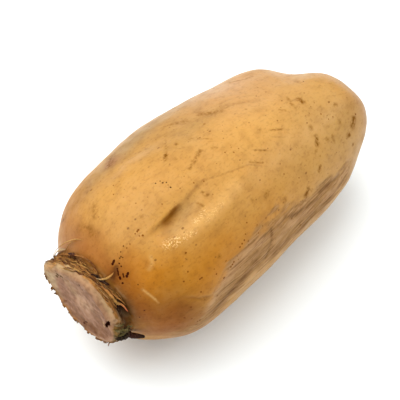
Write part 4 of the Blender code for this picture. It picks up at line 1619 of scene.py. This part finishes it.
def grown_skin(skin, values):
    """The root itself: one closed mesh from the grid, with the cut's middle and the tip as single points."""
    rows, columns = skin.points.shape[:2]
    kind_of = np.where(cut_tissue(skin), CUT, np.where(skin.distance < TORN_END, TORN, SKIN))
    middle, tip = rows * columns, rows * columns + 1
    faces, kinds = [], []
    for column in range(columns):
        beside = (column + 1) % columns
        faces.append((middle, beside, column))
        kinds.append(CUT)
        for row in range(rows - 1):
            low, high = row * columns, (row + 1) * columns
            faces.append((low + column, low + beside, high + beside, high + column))
            kinds.append(kind_of[row, column])
        last = (rows - 1) * columns
        faces.append((tip, last + column, last + beside))
        kinds.append(SKIN)
    materials = [skin_material(skin), cut_material(skin), torn_material("torn_collar", COLLAR_GRAIN)]
    values = {label: flattened(grid) for label, grid in values.items()}
    piece = add_piece("grown_skin", flattened(skin.points), faces, values, materials, kinds)
    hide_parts("lotus_root")


def add_husk(skin):
    """The torn husk round the node: fibres wound round it, broken ends, and the strands that stand off it."""
    fibres = Husk(skin, FIBRE_SEED)
    for _ in range(FIBRES):
        fibres.wind()
    for _ in range(TEETH):
        fibres.tooth()
    fibres.add("husk_fibres")
    strands = Husk(skin, STRAND_SEED)
    for strand in STRANDS:
        strands.strand(*strand)
    strands.add("husk_strands")


def add_light(name, place, size, power, colour):
    """A soft square light that faces the root."""
    lamp = bpy.data.lights.new(name, "AREA")
    lamp.shape = "SQUARE"
    lamp.size = size
    lamp.energy = power
    lamp.color = colour
    made = bpy.data.objects.new(name, lamp)
    bpy.context.scene.collection.objects.link(made)
    made.location = place
    made.rotation_euler = (Vector(LIT_POINT) - Vector(place)).to_track_quat("-Z", "Y").to_euler()


def add_room():
    """White light from overhead that fades to a dim horizon."""
    world = bpy.data.worlds.new("room")
    world.use_nodes = True
    tree = world.node_tree
    height = tree.nodes.new("ShaderNodeSeparateXYZ")
    ramp = tree.nodes.new("ShaderNodeMapRange")
    ramp.interpolation_type = "SMOOTHSTEP"
    for socket, value in zip(("From Min", "From Max", "To Min", "To Max"), (*ROOM_FADE, *ROOM_LIGHT)):
        ramp.inputs[socket].default_value = value
    tree.links.new(tree.nodes.new("ShaderNodeTexCoord").outputs["Generated"], height.inputs[0])
    tree.links.new(height.outputs["Z"], ramp.inputs["Value"])
    tree.links.new(ramp.outputs["Result"], tree.nodes["Background"].inputs["Strength"])
    tree.nodes["Background"].inputs["Color"].default_value = (1.0, 1.0, 1.0, 1.0)
    bpy.context.scene.world = world


def add_stage():
    """A white table, a white room and two soft lights."""
    edge = TABLE_SIZE / 2.0
    corners = [(-edge, -edge, 0.0), (edge, -edge, 0.0), (edge, edge, 0.0), (-edge, edge, 0.0)]
    mesh = bpy.data.meshes.new("table")
    mesh.from_pydata(corners, [], [(0, 1, 2, 3)])
    mesh.materials.append(table_material())
    table = bpy.data.objects.new("table", mesh)
    bpy.context.scene.collection.objects.link(table)
    add_room()
    for settings in LIGHTS:
        add_light(*settings)
    bpy.context.scene.view_settings.view_transform = "Standard"


def add_camera():
    """The camera, aimed near the middle of the root."""
    low, high = CAD_BOX
    aim = (low + high) / 2.0 + AIM_SHIFT
    level = math.cos(ELEVATION)
    back = Vector((math.sin(AZIMUTH) * level, -math.cos(AZIMUTH) * level, math.sin(ELEVATION)))
    data = bpy.data.cameras.new("camera")
    data.lens = LENS
    camera = bpy.data.objects.new("camera", data)
    bpy.context.scene.collection.objects.link(camera)
    camera.location = aim + back * CAMERA_DISTANCE
    camera.rotation_euler = (-back).to_track_quat("-Z", "Y").to_euler()
    bpy.context.scene.camera = camera


skin = Skin(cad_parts["lotus_root"])
grown_skin(skin, shape_skin(skin))
add_husk(skin)
add_stage()
add_camera()
